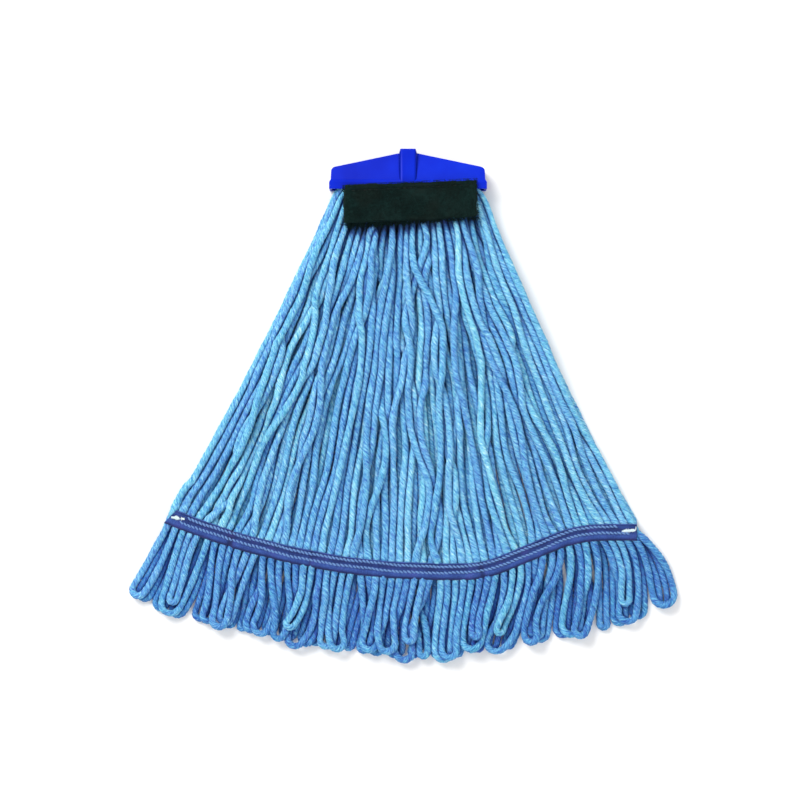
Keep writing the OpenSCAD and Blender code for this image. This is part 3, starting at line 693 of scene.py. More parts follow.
def mat_tape():
    """woven polyester tape; the attribute 'cloth' is (along, across, shade) in mm"""
    M = Mat("band_fabric")
    c = M.attr("cloth", "Vector")
    sp = M.N.new("ShaderNodeSeparateXYZ"); M.L.new(c, sp.inputs[0])
    al, ac, sh = sp.outputs
    wa = M.math("SINE", M.math("MULTIPLY", M.math("ADD", al, M.math("MULTIPLY", ac, 0.9)), 2 * math.pi / 1.15))
    wb = M.math("SINE", M.math("MULTIPLY", ac, 2 * math.pi / 0.62))
    weave = M.math("ADD", M.math("MULTIPLY", wa, 0.30), M.math("MULTIPLY", wb, 0.20))
    n1 = M.noise(c, 0.9, 4, 0.7); n2 = M.noise(c, 0.08, 2, 0.5, shift=(9, 4, 1))
    v = M.math("ADD", M.math("SUBTRACT", M.math("MULTIPLY", n1, 0.95), 0.205), M.math("MULTIPLY", weave, 0.34))
    v = M.math("ADD", v, M.math("MULTIPLY", sh, 0.55))
    v = M.math("ADD", v, M.math("MULTIPLY", n2, 0.25), True)
    col = M.ramp(v, [(0.0, srgb(6, 26, 82)), (0.30, srgb(24, 50, 116)), (0.55, srgb(44, 76, 150)), (0.8, srgb(76, 114, 186)), (1.0, srgb(120, 158, 212))])
    col = M.mix(M.span(n2, 0.52, 0.66, 0, 0.24), col, srgb(68, 64, 150))
    h = M.math("ADD", weave, M.math("MULTIPLY", n1, 0.6))
    return M.set(Base_Color=col, Roughness=0.72, Specular_IOR_Level=0.3, Sheen_Weight=0.15, Normal=M.bump(h, 0.6, 0.0003))

def mat_thread(name, lo, hi, rough=0.5):
    M = Mat(name)
    c = M.attr("cloth", "Vector")
    sp = M.N.new("ShaderNodeSeparateXYZ"); M.L.new(c, sp.inputs[0])
    tw = M.math("SINE", M.math("MULTIPLY", M.math("ADD", sp.outputs[0], M.math("MULTIPLY", sp.outputs[1], 1.6)), 2 * math.pi / 0.55))
    n = M.noise(c, 1.7, 3, 0.6)
    v = M.math("ADD", M.math("MULTIPLY", tw, 0.18), n, True)
    return M.set(Base_Color=M.ramp(v, [(0.25, lo), (0.75, hi)]), Roughness=rough, Specular_IOR_Level=0.4,
                 Sheen_Weight=0.1, Normal=M.bump(v, 0.5, 0.0002))

def mat_pad():
    M = Mat("pad_fibre")
    co = M.coords()
    n1 = M.noise(co, 900, 4, 0.7); n2 = M.noise(co, 110, 3, 0.6, shift=(0.3, 0.1, 0)); n3 = M.noise(co, 38, 2, 0.5)
    v = M.math("ADD", M.math("MULTIPLY", n1, 0.55), M.math("MULTIPLY", n2, 0.45))
    v = M.math("ADD", v, M.math("MULTIPLY", M.attr("tone"), 0.30))
    v = M.math("SUBTRACT", v, 0.15, True)
    col = M.ramp(v, [(0.0, srgb(1, 9, 8)), (0.35, srgb(3, 20, 18)), (0.6, srgb(8, 33, 31)), (0.85, srgb(20, 50, 47)), (1.0, srgb(38, 68, 64))])
    col = M.mix(M.span(n3, 0.52, 0.66, 0, 0.5), col, srgb(16, 28, 24))
    return M.set(Base_Color=col, Roughness=0.88, Specular_IOR_Level=0.14, Normal=M.bump(n1, 0.9, 0.0006))

def mat_plastic():
    M = Mat("header_plastic")
    co = M.coords()
    grain = M.noise(co, 2600, 2, 0.6); wave = M.noise(co, 26, 3, 0.5); scuff = M.noise(co, 320, 4, 0.7, stretch=(1, 3.2, 1))
    v = M.math("ADD", M.math("MULTIPLY", wave, 0.55), M.math("MULTIPLY", grain, 0.12))
    col = M.ramp(v, [(0.2, srgb(0, 25, 166)), (0.34, srgb(1, 34, 186)), (0.5, srgb(4, 44, 200))])
    col = M.mix(M.span(scuff, 0.66, 0.76, 0, 0.12), col, srgb(40, 70, 206))
    rough = M.math("ADD", M.span(scuff, 0.4, 0.75, 0.30, 0.42), M.math("MULTIPLY", wave, 0.05))
    # painted shade: faces turned sideways, such as the flanks of the hub and ribs, read darker
    gn = M.N.new("ShaderNodeNewGeometry"); sx = M.N.new("ShaderNodeSeparateXYZ"); M.L.new(gn.outputs["True Normal"], sx.inputs[0])
    col = M.mix(M.span(M.math("ABSOLUTE", sx.outputs[0]), 0.30, 0.75, 0, 0.62), col, srgb(0, 12, 104))
    return M.set(Base_Color=col, Roughness=rough, Specular_IOR_Level=0.09,
                 Normal=M.bump(grain, 0.10, 0.0002, M.bump(wave, 0.20, 0.0006)))

def mat_metal(name, a, b, rough):
    M = Mat(name)
    co = M.coords()
    br = M.noise(co, 400, 4, 0.7, stretch=(0.15, 3.0, 3.0)); st = M.noise(co, 90, 3, 0.6)
    col = M.ramp(M.math("ADD", M.math("MULTIPLY", br, 0.5), M.math("MULTIPLY", st, 0.5)), [(0.3, a), (0.7, b)])
    return M.set(Base_Color=col, Metallic=1.0, Roughness=M.span(br, 0.3, 0.7, rough, rough + 0.18), Normal=M.bump(br, 0.25, 0.0002))

YARN = mat_yarn()
TAPE_M = mat_tape()
THREAD = mat_thread("band_thread", srgb(62, 100, 166), srgb(118, 158, 210))
WHITE = mat_thread("white_thread", srgb(176, 212, 220), srgb(250, 255, 255), 0.4)
PAD_TH = mat_thread("pad_thread", srgb(1, 10, 9), srgb(6, 26, 23), 0.95)
PAD_M = mat_pad()
PLASTIC = mat_plastic()
BRASS = mat_metal("insert_metal", srgb(176, 150, 96), srgb(214, 192, 140), 0.24)
STEEL = mat_metal("rod_steel", srgb(150, 152, 155), srgb(205, 206, 208), 0.26)

def finish_piece(o, mat, nodes=()):
    o.data.materials.clear(); o.data.materials.append(mat)
    if nodes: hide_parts(*nodes)
    return o

# ================================================================ yarn pieces
def radius_fn(r):
    f = np.linspace(0, 1, len(r))
    return lambda q: np.interp(q, f, r)

def skirt_flat(q): return smooth((q - 0.93) / 0.06)
def loop_flat(L): return lambda q: 1 - smooth((np.minimum(q, 1 - q) * L - 5) / 16)
def loop_radius(L): return lambda q: np.interp(np.minimum(q, 1 - q) * L, [0, 7, 20], [2.6, 2.8, R_YARN])

PER_PIECE = 15
CROWD = Crowd([np.column_stack([X[:, i], Y[:, i], Z[:, i]]) for i in range(2 * N_LEG)] + SETTLED)
for half, side in ((0, "front"), (1, "rear")):
    for part in range(N_LEG // PER_PIECE):
        bag = Bag("yarn_co", "ply", "tone", "crease", "buried", "hue")
        for j in range(PER_PIECE):
            i = half * N_LEG + part * PER_PIECE + j
            yarn_tube(bag, np.column_stack([X[:, i], Y[:, i], Z[:, i]]), radius_fn(RAD[:, i]), i + 1, crowd=CROWD, key=i, flat=skirt_flat)
        o = finish_piece(bag.build(f"{side}_yarn_{part + 1}"), YARN, [f"{side}_yarn"])
        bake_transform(o)
    mine = [n for n, l in enumerate(LOOPS) if (l[1] < N_LEG) == (half == 0)]
    for part in range(2):
        bag = Bag("yarn_co", "ply", "tone", "crease", "buried", "hue")
        for n in mine[part * len(mine) // 2:(part + 1) * len(mine) // 2]:
            C = SETTLED[n]
            L = np.linalg.norm(np.diff(C, axis=0), axis=1).sum()
            # painted shade: the loops get a lower tone for the shade of the stacked fringe, the rear loops under the
            # front ones lower still
            yarn_tube(bag, C, loop_radius(L), LOOPS[n][1] + 1, 331.0, shift=-0.60 if half == 0 else -1.15, crowd=CROWD, key=2 * N_LEG + n, flat=loop_flat(L))
        o = finish_piece(bag.build(f"{side}_loops_{part + 1}"), YARN, [f"{side}_loops"])
        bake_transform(o)

# the same yarns where they lie folded over the rod, inside the header
bag = Bag("yarn_co", "ply", "tone", "crease", "buried", "hue")
for i in range(N_LEG):
    a = np.array([X[0, i], Y[0, i], Z[0, i]]); b = np.array([X[0, i + N_LEG], Y[0, i + N_LEG], Z[0, i + N_LEG]])
    th = np.linspace(0, math.pi, 13)
    R = 0.5 * (a[2] - b[2])
    P = np.column_stack([a[0] + (b[0] - a[0]) * th / math.pi, ROD_Y + R * np.sin(th), 0.5 * (a[2] + b[2]) + R * np.cos(th)])
    yarn_tube(bag, np.vstack([a, P, b]), lambda q: np.full_like(q, 1.22), i + 1, step=1.2, fuzz=0.3)
o = finish_piece(bag.build("yarn_over_rod"), YARN, ["yarn_fold"])
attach(o, "header")

# ================================================================ tail bands
def band_curve(step=1.0):
    x = np.arange(BAND_X0, BAND_X1 + 0.01, 0.5)
    P = np.column_stack([x, band_y(x)])
    s = np.concatenate([[0], np.cumsum(np.linalg.norm(np.diff(P, axis=0), axis=1))])
    n = int(round(s[-1] / step)) + 1
    u = np.linspace(0, s[-1], n)
    C = np.column_stack([np.interp(u, s, P[:, 0]), np.interp(u, s, P[:, 1])])
    k = 6
    D = C[np.clip(np.arange(n) + k, 0, n - 1)] - C[np.clip(np.arange(n) - k, 0, n - 1)]
    D /= np.linalg.norm(D, axis=1)[:, None]
    return u, C, D, np.column_stack([-D[:, 1], D[:, 0]])

ROWS = (4.7, -0.9)
S_BAND, C_BAND, D_BAND, N_BAND = band_curve()
S_LEN = S_BAND[-1]

def wander(s, seed):
    """slow sideways wobble of a row or an edge, in mm"""
    return 0.35 * np.sin(s / 17.0 + seed) + 0.25 * np.sin(s / 7.3 + 2.1 * seed) + 0.12 * np.sin(s / 3.1 + 3.7 * seed)

KNUCKLE = np.interp(np.sort(XE[:N_LEG]), C_BAND[:, 0], S_BAND)
def strand_bump(s):
    """height of the yarn under the tape: 1 over a yarn, 0 between two"""
    d = np.abs(s[:, None] - KNUCKLE[None, :]).min(1)
    return np.clip(1 - (d / 3.5) ** 2, 0, 1)

# pinches: where the tape is folded on itself a little
PINCH = ((58.0, 2.4, 0.9), (284.5, 2.0, 0.5), (131.0, 1.6, 0.4))
def pinch(s): return sum(a * np.exp(-((s - c) / w) ** 2) for c, w, a in PINCH)

def tape_height(s, v, seed):
    """height of the outer face over the tape's flat thickness; s (n,1), v (1,m)"""
    puff = np.zeros(np.broadcast(s, v).shape)
    for row, depth, wid in ((ROWS[0], 0.75, 0.9), (ROWS[1], 0.75, 0.9)):
        puff -= depth * np.exp(-((v - row - wander(s, seed + row)) / wid) ** 2)
    puff += 0.62 * np.exp(-((v - 6.7) / 0.7) ** 2)                       # turned top edge
    puff += 0.30 * np.exp(-((v - 1.9) / 1.5) ** 2) + 0.75 * np.exp(-((v + 4.0) / 1.9) ** 2)
    puff -= 0.9 * np.clip((np.abs(v) - 6.9) / 0.6, 0, 1) ** 2
    sb = strand_bump(s[:, 0])[:, None]
    puff += 0.42 * sb * np.exp(-(v / 6.5) ** 4) - 0.12
    puff += 0.10 * np.sin(s / 1.9 + v * 0.5 + seed) + 0.12 * np.sin(s / 5.3 - v * 0.7 + seed)
    return puff - 0.9 * pinch(s) * (0.6 + 0.4 * np.cos(v))

def make_tape(name, z_out, out, seed, node, body):
    """z_out: height of the flat outer face; out: +1 faces up, -1 down"""
    m = 46
    v = np.linspace(-BAND_W / 2, BAND_W / 2, m)[None, :]
    s = S_BAND[:, None]
    vv = v * (1 - 0.11 * pinch(s)) + wander(s, seed) * 0.5 * np.abs(v) / 7.5
    h = tape_height(s, v, seed)
    top = np.dstack([C_BAND[:, None, 0] + N_BAND[:, None, 0] * vv, C_BAND[:, None, 1] + N_BAND[:, None, 1] * vv,
                     z_out + out * h])
    slant = 0.42 * (np.clip((14 - s) / 14, 0, 1)) * v + 0.0 * s          # the left end is cut at a slant
    top[..., 0] += D_BAND[:, None, 0] * slant; top[..., 1] += D_BAND[:, None, 1] * slant
    under = top.copy()
    under[..., 2] = z_out - out * (TAPE * 0.9) + out * 0.35 * (h - h.mean())
    n = len(S_BAND)
    V = np.vstack([top.reshape(-1, 3), under.reshape(-1, 3)])
    q1 = grid_quads(n, m, out > 0); q2 = grid_quads(n, m, out < 0) + n * m
    idx = np.arange(n * m).reshape(n, m); e = []
    for line in (idx[:, 0], idx[:, -1][::-1], idx[0, ::-1], idx[-1, :]):
        a, b = line[:-1], line[1:]
        e.append(np.stack([a, b, b + n * m, a + n * m], -1))
    rim = np.vstack(e)
    if out > 0: rim = rim[:, ::-1]
    # shade: valleys beside the rows and the lower edge are darker, the ridge lighter
    sh = (-0.55 * np.exp(-((v - 2.4) / 1.3) ** 2) + 0.10 * np.exp(-((v + 3.6) / 1.8) ** 2)
          - 0.95 * np.exp(-((v + 6.9) / 1.2) ** 2) - 0.40 * np.exp(-((v - 6.3) / 0.5) ** 2) + 0.35 * np.exp(-((v - 7.4) / 0.5) ** 2))
    # painted shade in the folds of the tape
    sh = sh - 1.2 * pinch(s) + 0.07 * np.sin(s / 3.3 + seed) + 0.0 * v
    sh = np.broadcast_to(sh, (n, m))
    cl = np.dstack([np.broadcast_to(s, (n, m)), np.broadcast_to(v, (n, m)), sh]).reshape(-1, 3)
    o = mesh_from(name, V, np.vstack([q1, q2, rim]), (), {"cloth": np.vstack([cl, cl])})
    finish_piece(o, TAPE_M, [node]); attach(o, body)
    return o

def on_band(s, v):
    """point on the band's plan at length s and offset v, with its along and across directions"""
    c = np.array([np.interp(s, S_BAND, C_BAND[:, k]) for k in (0, 1)])
    d = np.array([np.interp(s, S_BAND, D_BAND[:, k]) for k in (0, 1)]); d /= np.linalg.norm(d)
    return c + np.array([-d[1], d[0]]) * v, d

def stitch(bag, p, q, r, rise, up, g, seg=9, m=8):
    """one stitch: a twisted thread from p to q that arches by rise towards up and dives at both ends"""
    t = np.linspace(0, 1, seg)
    arch = np.sin(math.pi * t) ** 0.55
    P = p[None, :] * (1 - t)[:, None] + q[None, :] * t[:, None]
    P = P + np.outer(arch * rise - 0.35 * (1 - arch), up)
    T, N, B = frames(P)
    a = np.arange(m) * 2 * math.pi / m
    rr = r * (0.62 + 0.38 * np.sin(math.pi * np.clip(t, 0.03, 0.97)) ** 0.5)
    tw = np.linspace(0, 3.4, seg)[:, None]
    shape = 1 + 0.13 * np.cos(2 * (a[None, :] + tw))
    V = P[:, None, :] + (rr[:, None] * shape)[..., None] * (np.cos(a)[None, :, None] * N[:, None, :] + np.sin(a)[None, :, None] * B[:, None, :])
    qd, caps = ring_quads(seg, m)
    L = np.linalg.norm(q - p)
    cl = np.dstack([np.broadcast_to((t * L)[:, None], (seg, m)) + g.uniform(0, 50), np.broadcast_to(a[None, :], (seg, m)),
                    np.full((seg, m), g.uniform(0, 20))])
    bag.add(V.reshape(-1, 3), qd, caps, cloth=cl.reshape(-1, 3))

def make_rows(name, z_out, out, seed, node, body):
    bag = Bag("cloth")
    g = np.random.default_rng(seed)
    for row in ROWS:
        s = (15.0 if row > 0 else 8.0) + g.uniform(0, 2)
        while s < S_LEN - (17.5 if row > 0 else 8.0):
            L = 3.55 * g.uniform(0.93, 1.07)
            v = row + float(wander(np.array(s), seed + row))
            k = 0.95 + g.normal(0, 0.12)
            a, d = on_band(s, v + k); b, _ = on_band(s + L * 0.98, v - k)
            z = z_out - out * 0.45 - out * 1.1 * float(pinch(np.array(s)))
            lift = 0.30 * float(strand_bump(np.array([s + L / 2]))[0])
            p = np.array([a[0], a[1], z + out * lift]); q = np.array([b[0], b[1], z + out * lift])
            stitch(bag, p, q, 0.84 * g.uniform(0.9, 1.08), 0.50, np.array([0, 0, out], float), g)
            s += L
    o = finish_piece(bag.build(name), THREAD, [node]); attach(o, body)

def make_tacks(name, z_out, out, seed, node, body):
    """dense zigzag tacks in white thread, close to both ends"""
    bag = Bag("cloth")
    g = np.random.default_rng(seed)
    for x, tilt in ((BAND_X0 + 7, -9.0), (BAND_X1 - 7.6, 4.0)):
        c = np.array([x, float(band_y(x)) + 1.6])
        t = math.radians(tilt); e = np.array([math.cos(t), math.sin(t)]); f = np.array([-e[1], e[0]])
        for k in range(22):
            w = -6 + 12 * (k + 0.5) / 22
            half = (1.0 + 0.9 * math.sin(math.pi * (k + 0.5) / 22)) * g.uniform(0.6, 1.2)
            a2 = c + e * (w - 0.25) + f * half; b2 = c + e * (w + 0.35) - f * half
            z = z_out + out * 0.05
            stitch(bag, np.array([*a2, z]), np.array([*b2, z]), 0.30, 0.42 + g.uniform(-0.06, 0.1), np.array([0, 0, out], float), g, 7, 6)
        for k in range(3):                                   # the long stitches underneath
            v = -0.9 + 0.9 * k
            a2 = c - e * 6 + f * v; b2 = c + e * 6 + f * v
            stitch(bag, np.array([*a2, z_out]), np.array([*b2, z_out]), 0.34, 0.1, np.array([0, 0, out], float), g, 9, 6)
    # one stray end at the right
    if out > 0:
        p, _ = on_band(S_LEN - 1.2, 1.0); q, _ = on_band(S_LEN - 0.8, 5.2)
        stitch(bag, np.array([*p, z_out]), np.array([*q, z_out]), 0.4, 0.5, np.array([0, 0, 1.0]), g)
    o = finish_piece(bag.build(name), WHITE, [node]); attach(o, body)

make_tape("front_band_outer_tape", FRONT_OUT + TAPE, 1, 1.0, "front_band_outer", "front_skirt")
make_tape("front_band_inner_tape", FRONT_IN, -1, 2.0, "front_band_inner", "front_skirt")
make_tape("rear_band_inner_tape", REAR_IN + TAPE, 1, 3.0, "rear_band_inner", "rear_skirt")
make_tape("rear_band_outer_tape", REAR_OUT, -1, 4.0, "rear_band_outer", "rear_skirt")
make_rows("front_band_stitches", FRONT_OUT + TAPE, 1, 11, "front_band_thread", "front_skirt")
make_rows("rear_band_stitches", REAR_OUT, -1, 12, "rear_band_thread", "rear_skirt")
make_tacks("front_band_tacks", FRONT_OUT + TAPE, 1, 13, "front_band_bartacks", "front_skirt")
make_tacks("rear_band_tacks", REAR_OUT, -1, 14, "rear_band_bartacks", "rear_skirt")

# ================================================================ headband, inside the header
def make_headband():
    half = 70 - 2.4 - 3.2
    ro, y1 = 8.1, -34.6
    th = np.linspace(0, math.pi, 25)
    prof = [(y1 + (ROD_Y - y1) * k / 6, ro) for k in range(6)] + [(ROD_Y + ro * math.sin(a), ro * math.cos(a)) for a in th] \
        + [(ROD_Y + (y1 - ROD_Y) * k / 6, -ro) for k in range(1, 7)]
    P = np.array(prof); n = len(P)
    L = np.concatenate([[0], np.cumsum(np.linalg.norm(np.diff(P, axis=0), axis=1))])
    T = np.gradient(P, axis=0); T /= np.linalg.norm(T, axis=1)[:, None]
    Nn = np.column_stack([-T[:, 1], T[:, 0]])
    Nn *= np.sign((Nn * (P - [ROD_Y - 3, 0])).sum(1))[:, None]
    x = np.linspace(-half + 0.2, half - 0.2, 170)
    wav = 0.10 * np.sin(x[None, :] / 1.3) + 0.07 * np.sin(x[None, :] / 4.1 + L[:, None] / 3)
    def sheet(off):
        Q = P[:, None, :] + Nn[:, None, :] * (off + wav)[..., None]
        return np.dstack([np.broadcast_to(x[None, :], (n, len(x))), Q[..., 0], Q[..., 1]])
    A, B = sheet(0.17 + 0 * L[:, None]), sheet(-0.35 + 0 * L[:, None])
    m = len(x); idx = np.arange(n * m).reshape(n, m); e = []
    for line in (idx[:, 0], idx[:, -1][::-1], idx[0, ::-1], idx[-1, :]):
        e.append(np.stack([line[:-1], line[1:], line[1:] + n * m, line[:-1] + n * m], -1))
    V = np.vstack([A.reshape(-1, 3), B.reshape(-1, 3)])
    cl = np.dstack([np.broadcast_to(x[None, :], (n, m)), np.broadcast_to(L[:, None], (n, m)), np.full((n, m), 0.1)]).reshape(-1, 3)
    o = mesh_from("headband_webbing", V, np.vstack([grid_quads(n, m), grid_quads(n, m, True) + n * m] + e), (), {"cloth": np.vstack([cl, cl])})
    finish_piece(o, TAPE_M, ["headband_tape"]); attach(o, "header")
    bag = Bag("cloth"); g = np.random.default_rng(5)
    for s in (-1, 1):
        for i in range(25):
            x0 = -60 + i * 5 - 1.7
            stitch(bag, np.array([x0, -30.05, s * 8.42]), np.array([x0 + 3.5, -30.05, s * 8.42]), 0.36, 0.18, np.array([0, 0, s], float), g, 7, 6)
    o = finish_piece(bag.build("headband_stitches"), THREAD, ["headband_thread"]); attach(o, "header")
make_headband()

# ================================================================ scrub pad
def pad_point(u, v, w=0.0):
    """pad coordinates (mm from its centre, and height over its underside) to the shared frame"""
    t = math.radians(PAD_TILT); c, s = math.cos(t), math.sin(t)
    return np.stack([PAD_C[0] + c * u - s * v, PAD_C[1] + s * u + c * v, PAD_Z + w + 0 * u], -1)

def make_pad():
    g = np.random.default_rng(77)
    hw, hh, th = PAD_SIZE[0] / 2, PAD_SIZE[1] / 2, PAD_SIZE[2]
    n, m, k = 168, 52, 9
    def edge_noise(t, seed):
        return 0.5 * np.sin(t / 5.1 + seed) + 0.35 * np.sin(t / 2.2 + 1.7 * seed) + 0.25 * np.sin(t / 1.0 + 3.1 * seed)
    def surf(top):
        U, W = np.meshgrid(np.linspace(-1, 1, n), np.linspace(-1, 1, m), indexing="ij")
        # crowd the grid towards the rounded edge
        U = np.sin(U * math.pi / 2) * 0.35 + U * 0.65; W = np.sin(W * math.pi / 2) * 0.35 + W * 0.65
        return U, W
    U, W = surf(True)
    u, v = U * hw, W * hh
    # ragged outline
    ru = edge_noise(v, 1.0) * 0.8; rv_top = edge_noise(u, 2.0) * 0.35
    rv_bot = edge_noise(u, 4.0) * 0.8 + 0.9 * np.sin(u / 19.0 + 0.7)
    u = u + np.sign(U) * np.abs(U) ** 12 * (ru - 0.2)
    v = v + np.where(W > 0, np.abs(W) ** 12 * (rv_top - 0.1), -np.abs(W) ** 12 * (rv_bot * 0.8 - 1.0 + 0.9 * smooth((10 - u) / 60)))
    # the left half of the top edge hangs a little, so the edge bends
    v = v - (0.45 + 1.35 * smooth((u + 50) / 50)) * (W * 0.5 + 0.5) ** 3
    # its ends are cut square to the header and not to its own tilt
    u = u + np.abs(U) ** 6 * np.where(U < 0, 0.15 + 1.35 * W, -0.7 + 0.6 * W)
    edge = np.minimum((1 - np.abs(U)) * hw, (1 - np.abs(W)) * hh)
    rnd = np.sqrt(np.clip(1 - (1 - np.clip(edge / 1.6, 0, 1)) ** 2, 0, 1))
    fine = g.standard_normal((n, m))
    fine = (fine + np.roll(fine, 1, 0) + np.roll(fine, 1, 1) + np.roll(fine, (1, 1), (0, 1))) / 2.6
    dent = 0.28 * np.sin(u / 9.0 + 1) * np.sin(v / 6.0) + 0.2 * np.sin(u / 23 + v / 9)
    top_z = th - 1.6 + 1.35 * rnd + 0.20 * fine + dent * 0.8
    sew = np.exp(-((v - (hh - 6)) / 0.9) ** 2) * (np.abs(u) < 53)
    top_z = top_z - 0.7 * sew
    bot_z = 1.2 - 1.1 * rnd + 0.08 * fine
    A = pad_point(u, v, top_z); B = pad_point(u, v, bot_z)
    # the open cut edge: a few rows between the two faces
    idx = np.arange(n * m).reshape(n, m)
    ring = np.concatenate([idx[:-1, 0], idx[-1, :-1], idx[:0:-1, -1], idx[0, :0:-1]])
    a, b = A.reshape(-1, 3)[ring], B.reshape(-1, 3)[ring]
    rows = [ring]; V = [A.reshape(-1, 3), B.reshape(-1, 3)]; base = 2 * n * m
    cen = pad_point(np.array(0.0), np.array(0.0), 3.5)
    for j in range(1, k - 1):
        t = j / (k - 1)
        P = a * (1 - t) + b * t
        out = P - cen; out[:, 2] = 0; out /= np.linalg.norm(out, axis=1)[:, None]
        P = P + out * (0.55 * math.sin(math.pi * t) + 0.22 * g.standard_normal(len(ring)))[:, None]
        V.append(P); rows.append(base + np.arange(len(ring))); base += len(ring)
    rows.append(ring + n * m)
    Q = [grid_quads(n, m, True), grid_quads(n, m) + n * m]
    for r0, r1 in zip(rows[:-1], rows[1:]):
        Q.append(np.stack([r0, np.roll(r0, -1), np.roll(r1, -1), r1], -1)[:, ::-1])
    V = np.vstack(V)
    bag = Bag("tone")
    bag.add(V, np.vstack(Q), tone=0.35 + 0.25 * g.standard_normal(len(V)).clip(-1, 1))
    # fibres: curved, mostly lying on the faces, some loose at the edges
    def fibre(P, r, tone, mm=4):
        T, N, B2 = frames(P)
        al = np.arange(mm) * 2 * math.pi / mm
        rr = r * (1 - 0.55 * np.linspace(-1, 1, len(P)) ** 2)
        F = P[:, None, :] + rr[:, None, None] * (np.cos(al)[None, :, None] * N[:, None, :] + np.sin(al)[None, :, None] * B2[:, None, :])
        q, caps = ring_quads(len(P), mm)
        bag.add(F.reshape(-1, 3), q, caps, tone=tone)
    count = 1900
    for _ in range(count):
        uu, vv = g.uniform(-hw + 1.5, hw - 1.5), g.uniform(-hh + 1.5, hh - 1.5)
        a0 = g.uniform(0, 6.28); L = g.uniform(4, 11); cv = g.normal(0, 0.16)
        t = np.linspace(0, L, 7)
        th_ = a0 + cv * t
        pu = uu + np.concatenate([[0], np.cumsum(np.cos(th_[:-1]) * L / 6)]); pv = vv + np.concatenate([[0], np.cumsum(np.sin(th_[:-1]) * L / 6)])
        pu = np.clip(pu, -hw + 0.4, hw - 0.4); pv = np.clip(pv, -hh + 0.4, hh - 0.4)
        z = th - 0.15 + 0.42 * np.sin(math.pi * t / L * g.uniform(0.7, 2.2)) - 0.2
        fibre(pad_point(pu, pv, np.minimum(z, th + 0.35)), g.uniform(0.11, 0.2), g.uniform(0.1, 1.25))
    count = 1100
    for _ in range(count):
        side = g.choice([0, 1, 2, 3], p=[0.82, 0.08, 0.07, 0.03])
        if side == 0:                     # lower edge, thicker on the left
            uu = g.uniform(-hw, hw); uu = uu if g.uniform() < 0.55 + 0.45 * (uu < 26) else g.uniform(-hw, 26)
            p, dr = (uu, -hh + 0.6), (g.normal(0, 0.7), -1.0)
        elif side == 1: p, dr = (-hw + 0.5, g.uniform(-hh, hh)), (-1.0, g.normal(0, 0.7))
        elif side == 2: p, dr = (hw - 0.5, g.uniform(-hh, hh)), (1.0, g.normal(0, 0.7))
        else: p, dr = (g.uniform(-hw, hw), hh - 0.5), (g.normal(0, 1.0), 1.0)
        dr = np.array(dr) / np.linalg.norm(dr)
        L = g.uniform(1.5, 5.2) * (1 + 0.6 * float(smooth((20 - p[0]) / 40)) * g.uniform()) if side == 0 else g.uniform(0.7, 2.2)
        if side == 3: L *= 0.6
        a0 = math.atan2(dr[1], dr[0]); cv = g.normal(0, 0.35)
        t = np.linspace(0, L, 6); th_ = a0 + cv * t
        pu = p[0] + np.concatenate([[0], np.cumsum(np.cos(th_[:-1]) * L / 5)]); pv = p[1] + np.concatenate([[0], np.cumsum(np.sin(th_[:-1]) * L / 5)])
        z0 = g.uniform(0.3, th - 0.8)
        z = z0 + (g.uniform(0.1, 0.6) - z0) * smooth(t / L) * (0.9 if side == 0 else 0.2)
        fibre(pad_point(pu, pv, np.maximum(z, 0.15)), g.uniform(0.13, 0.26), g.uniform(0.0, 0.9))
    o = finish_piece(bag.build("scouring_pad"), PAD_M, ["scrub_pad"])
    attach(o, "pad_flap")
    bag = Bag("cloth")
    for i in range(21):
        u0 = -51.7 + i * 5
        P = pad_point(np.array([u0 - 0.2, u0 + 3.6]), np.array([hh - 6 + g.normal(0, 0.1), hh - 6 + g.normal(0, 0.1)]), np.array([th - 0.5, th - 0.5]))
        stitch(bag, P[0], P[1], 0.34, 0.1, np.array([0, 0, 1.0]), g)
    o = finish_piece(bag.build("pad_stitches"), PAD_TH, ["pad_thread"]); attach(o, "pad_flap")
make_pad()

# ================================================================ header shells, with moulded edges
def soften_edges(node, width, keep):
    """a copy of a CAD node whose outer edges are rounded"""
    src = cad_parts[node]
    bm = bmesh.new(); bm.from_mesh(src.data)
    bmesh.ops.remove_doubles(bm, verts=bm.verts, dist=2e-6)
    bmesh.ops.dissolve_limit(bm, angle_limit=math.radians(1.2), verts=bm.verts, edges=bm.edges)
    edges = [e for e in bm.edges if len(e.link_faces) == 2 and e.calc_face_angle(0) > math.radians(17) and e.calc_length() > 3e-4 and keep(e)]
    bmesh.ops.bevel(bm, geom=edges, offset=width * MM, offset_type="OFFSET", segments=4, profile=0.5, affect="EDGES", clamp_overlap=True)
    bmesh.ops.triangulate(bm, faces=[f for f in bm.faces if len(f.verts) > 4], quad_method="BEAUTY", ngon_method="BEAUTY")
    me = bpy.data.meshes.new(node + "_moulding"); bm.to_mesh(me); bm.free()
    for p in me.polygons: p.use_smooth = True
    o = bpy.data.objects.new(node + "_moulding", me); scene.collection.objects.link(o)
    o.matrix_world = src.matrix_world.copy()
    me.set_sharp_from_angle(angle=math.radians(38))
    md = o.modifiers.new("even_normals", "WEIGHTED_NORMAL"); md.keep_sharp = True; md.weight = 60
    return o

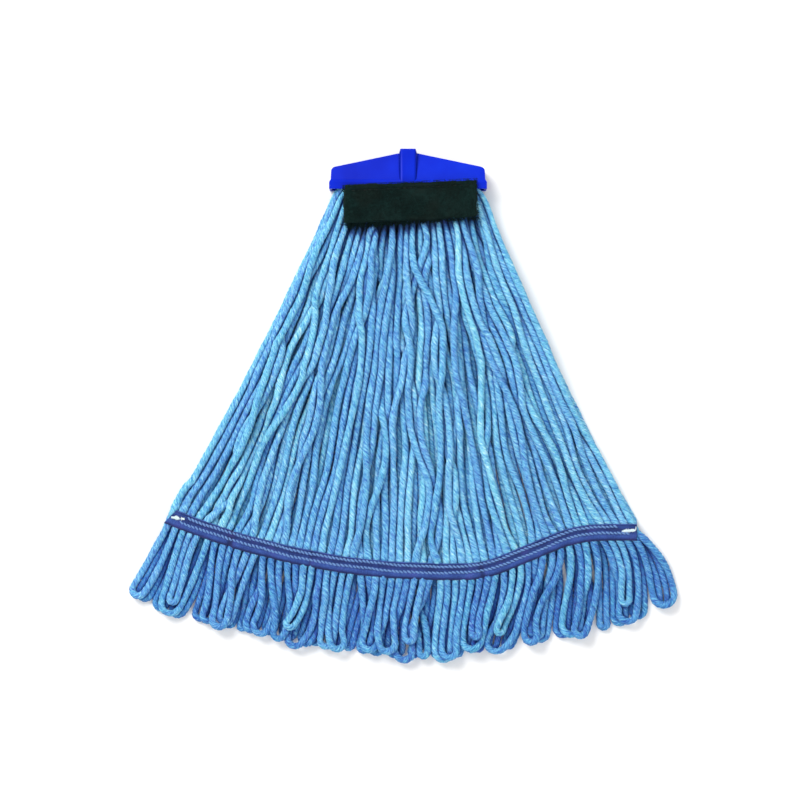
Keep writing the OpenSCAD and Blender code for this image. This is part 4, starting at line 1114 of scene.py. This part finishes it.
def outside(e):
    """edges of the outer faces, not of the parting plane or the hollow"""
    a, b = e.verts[0].co / MM, e.verts[1].co / MM
    c = (a + b) / 2
    if abs(a.z) < 0.6 and abs(b.z) < 0.6: return False
    if abs(c.x) < 7.2 and c.y > -0.5 and abs(c.z) < 7.2: return False
    y = c.y
    rim = np.interp(-y, [3, 16, 27, 29.5, 35.5], [5.8, 8.6, 11, 13, 13])
    on_face = abs(abs(c.z) - rim) < 0.35
    on_hub = abs(c.x) < 8.6 and abs(c.z) > rim - 0.4
    top = np.interp(abs(c.x), [8.65, 64.4], [-3.6, -15.5])
    on_top = abs(c.y - top) < 0.5 or (abs(c.x) > 64.2 and c.y > -29.6 and abs(c.x) > 67.5 - 3.9)
    on_side = abs(c.x) > 68.4
    low = c.y < -35.3 and (abs(c.z) > 12.7 or abs(c.x) > 69.7)
    return bool(on_face or on_hub or on_top or on_side or low)

for node in ("front_cover", "rear_cover"):
    o = soften_edges(node, 0.9, outside)
    finish_piece(o, PLASTIC, [node]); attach(o, "header")

# ================================================================ threaded insert
def make_insert():
    pitch, r_in, r_out, L = 25.4 / 16, 3.97, 4.72, 18.0
    n, m = 190, 64
    y = -np.linspace(0, L, n)[:, None]; a = (np.arange(m) * 2 * math.pi / m)[None, :]
    ph = ((-y / pitch + a / (2 * math.pi)) % 1.0)
    r = np.interp(np.abs(ph - 0.5) * 2, [0, 0.16, 0.86, 1], [r_in, r_in, r_out, r_out])
    r = r + (r_out - r) * np.clip(1 - (-y) / 0.9, 0, 1) + (r_out - r) * np.clip(1 - (L + y) / 0.9, 0, 1)
    inner = np.dstack([r * np.sin(a), y + 0 * a, r * np.cos(a)])
    Rf = 11.5 / 2
    seg = (a + math.pi / 6) % (math.pi / 3) - math.pi / 6
    hexr = np.minimum(Rf / np.cos(seg), Rf / math.cos(math.pi / 6) - 0.05)
    # corners on the X axis, as in the CAD model
    a2 = a + math.pi / 6
    seg2 = (a2 - math.pi / 2 + math.pi / 6) % (math.pi / 3) - math.pi / 6
    ring = lambda yy, k: np.column_stack([(np.minimum(Rf / np.cos(seg2), Rf * 1.145) * k * np.sin(a2))[0], np.full(m, yy), (np.minimum(Rf / np.cos(seg2), Rf * 1.145) * k * np.cos(a2))[0]])
    rings = [inner.reshape(-1, 3)[:m], ring(0.0, 0.93), ring(-0.5, 1.0), ring(-L + 0.5, 1.0), ring(-L, 0.93), inner.reshape(-1, 3)[-m:]]
    V = [inner.reshape(-1, 3)] + rings[1:-1]
    q, _ = ring_quads(n, m)
    rows = [np.arange(m)] + [n * m + j * m + np.arange(m) for j in range(4)] + [(n - 1) * m + np.arange(m)]
    Q = [q[:, ::-1]]
    for r0, r1 in zip(rows[:-1], rows[1:]):
        Q.append(np.stack([r0, np.roll(r0, -1), np.roll(r1, -1), r1], -1))
    o = mesh_from("threaded_insert", np.vstack(V), np.vstack(Q))
    o.data.set_sharp_from_angle(angle=math.radians(32))
    bm = bmesh.new(); bm.from_mesh(o.data); bmesh.ops.recalc_face_normals(bm, faces=bm.faces); bm.to_mesh(o.data); bm.free()
    finish_piece(o, BRASS, ["socket_insert"]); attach(o, "header")
make_insert()

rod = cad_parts["yarn_rod"]
for sl in rod.material_slots: sl.material = STEEL
if not rod.material_slots: rod.data.materials.append(STEEL)
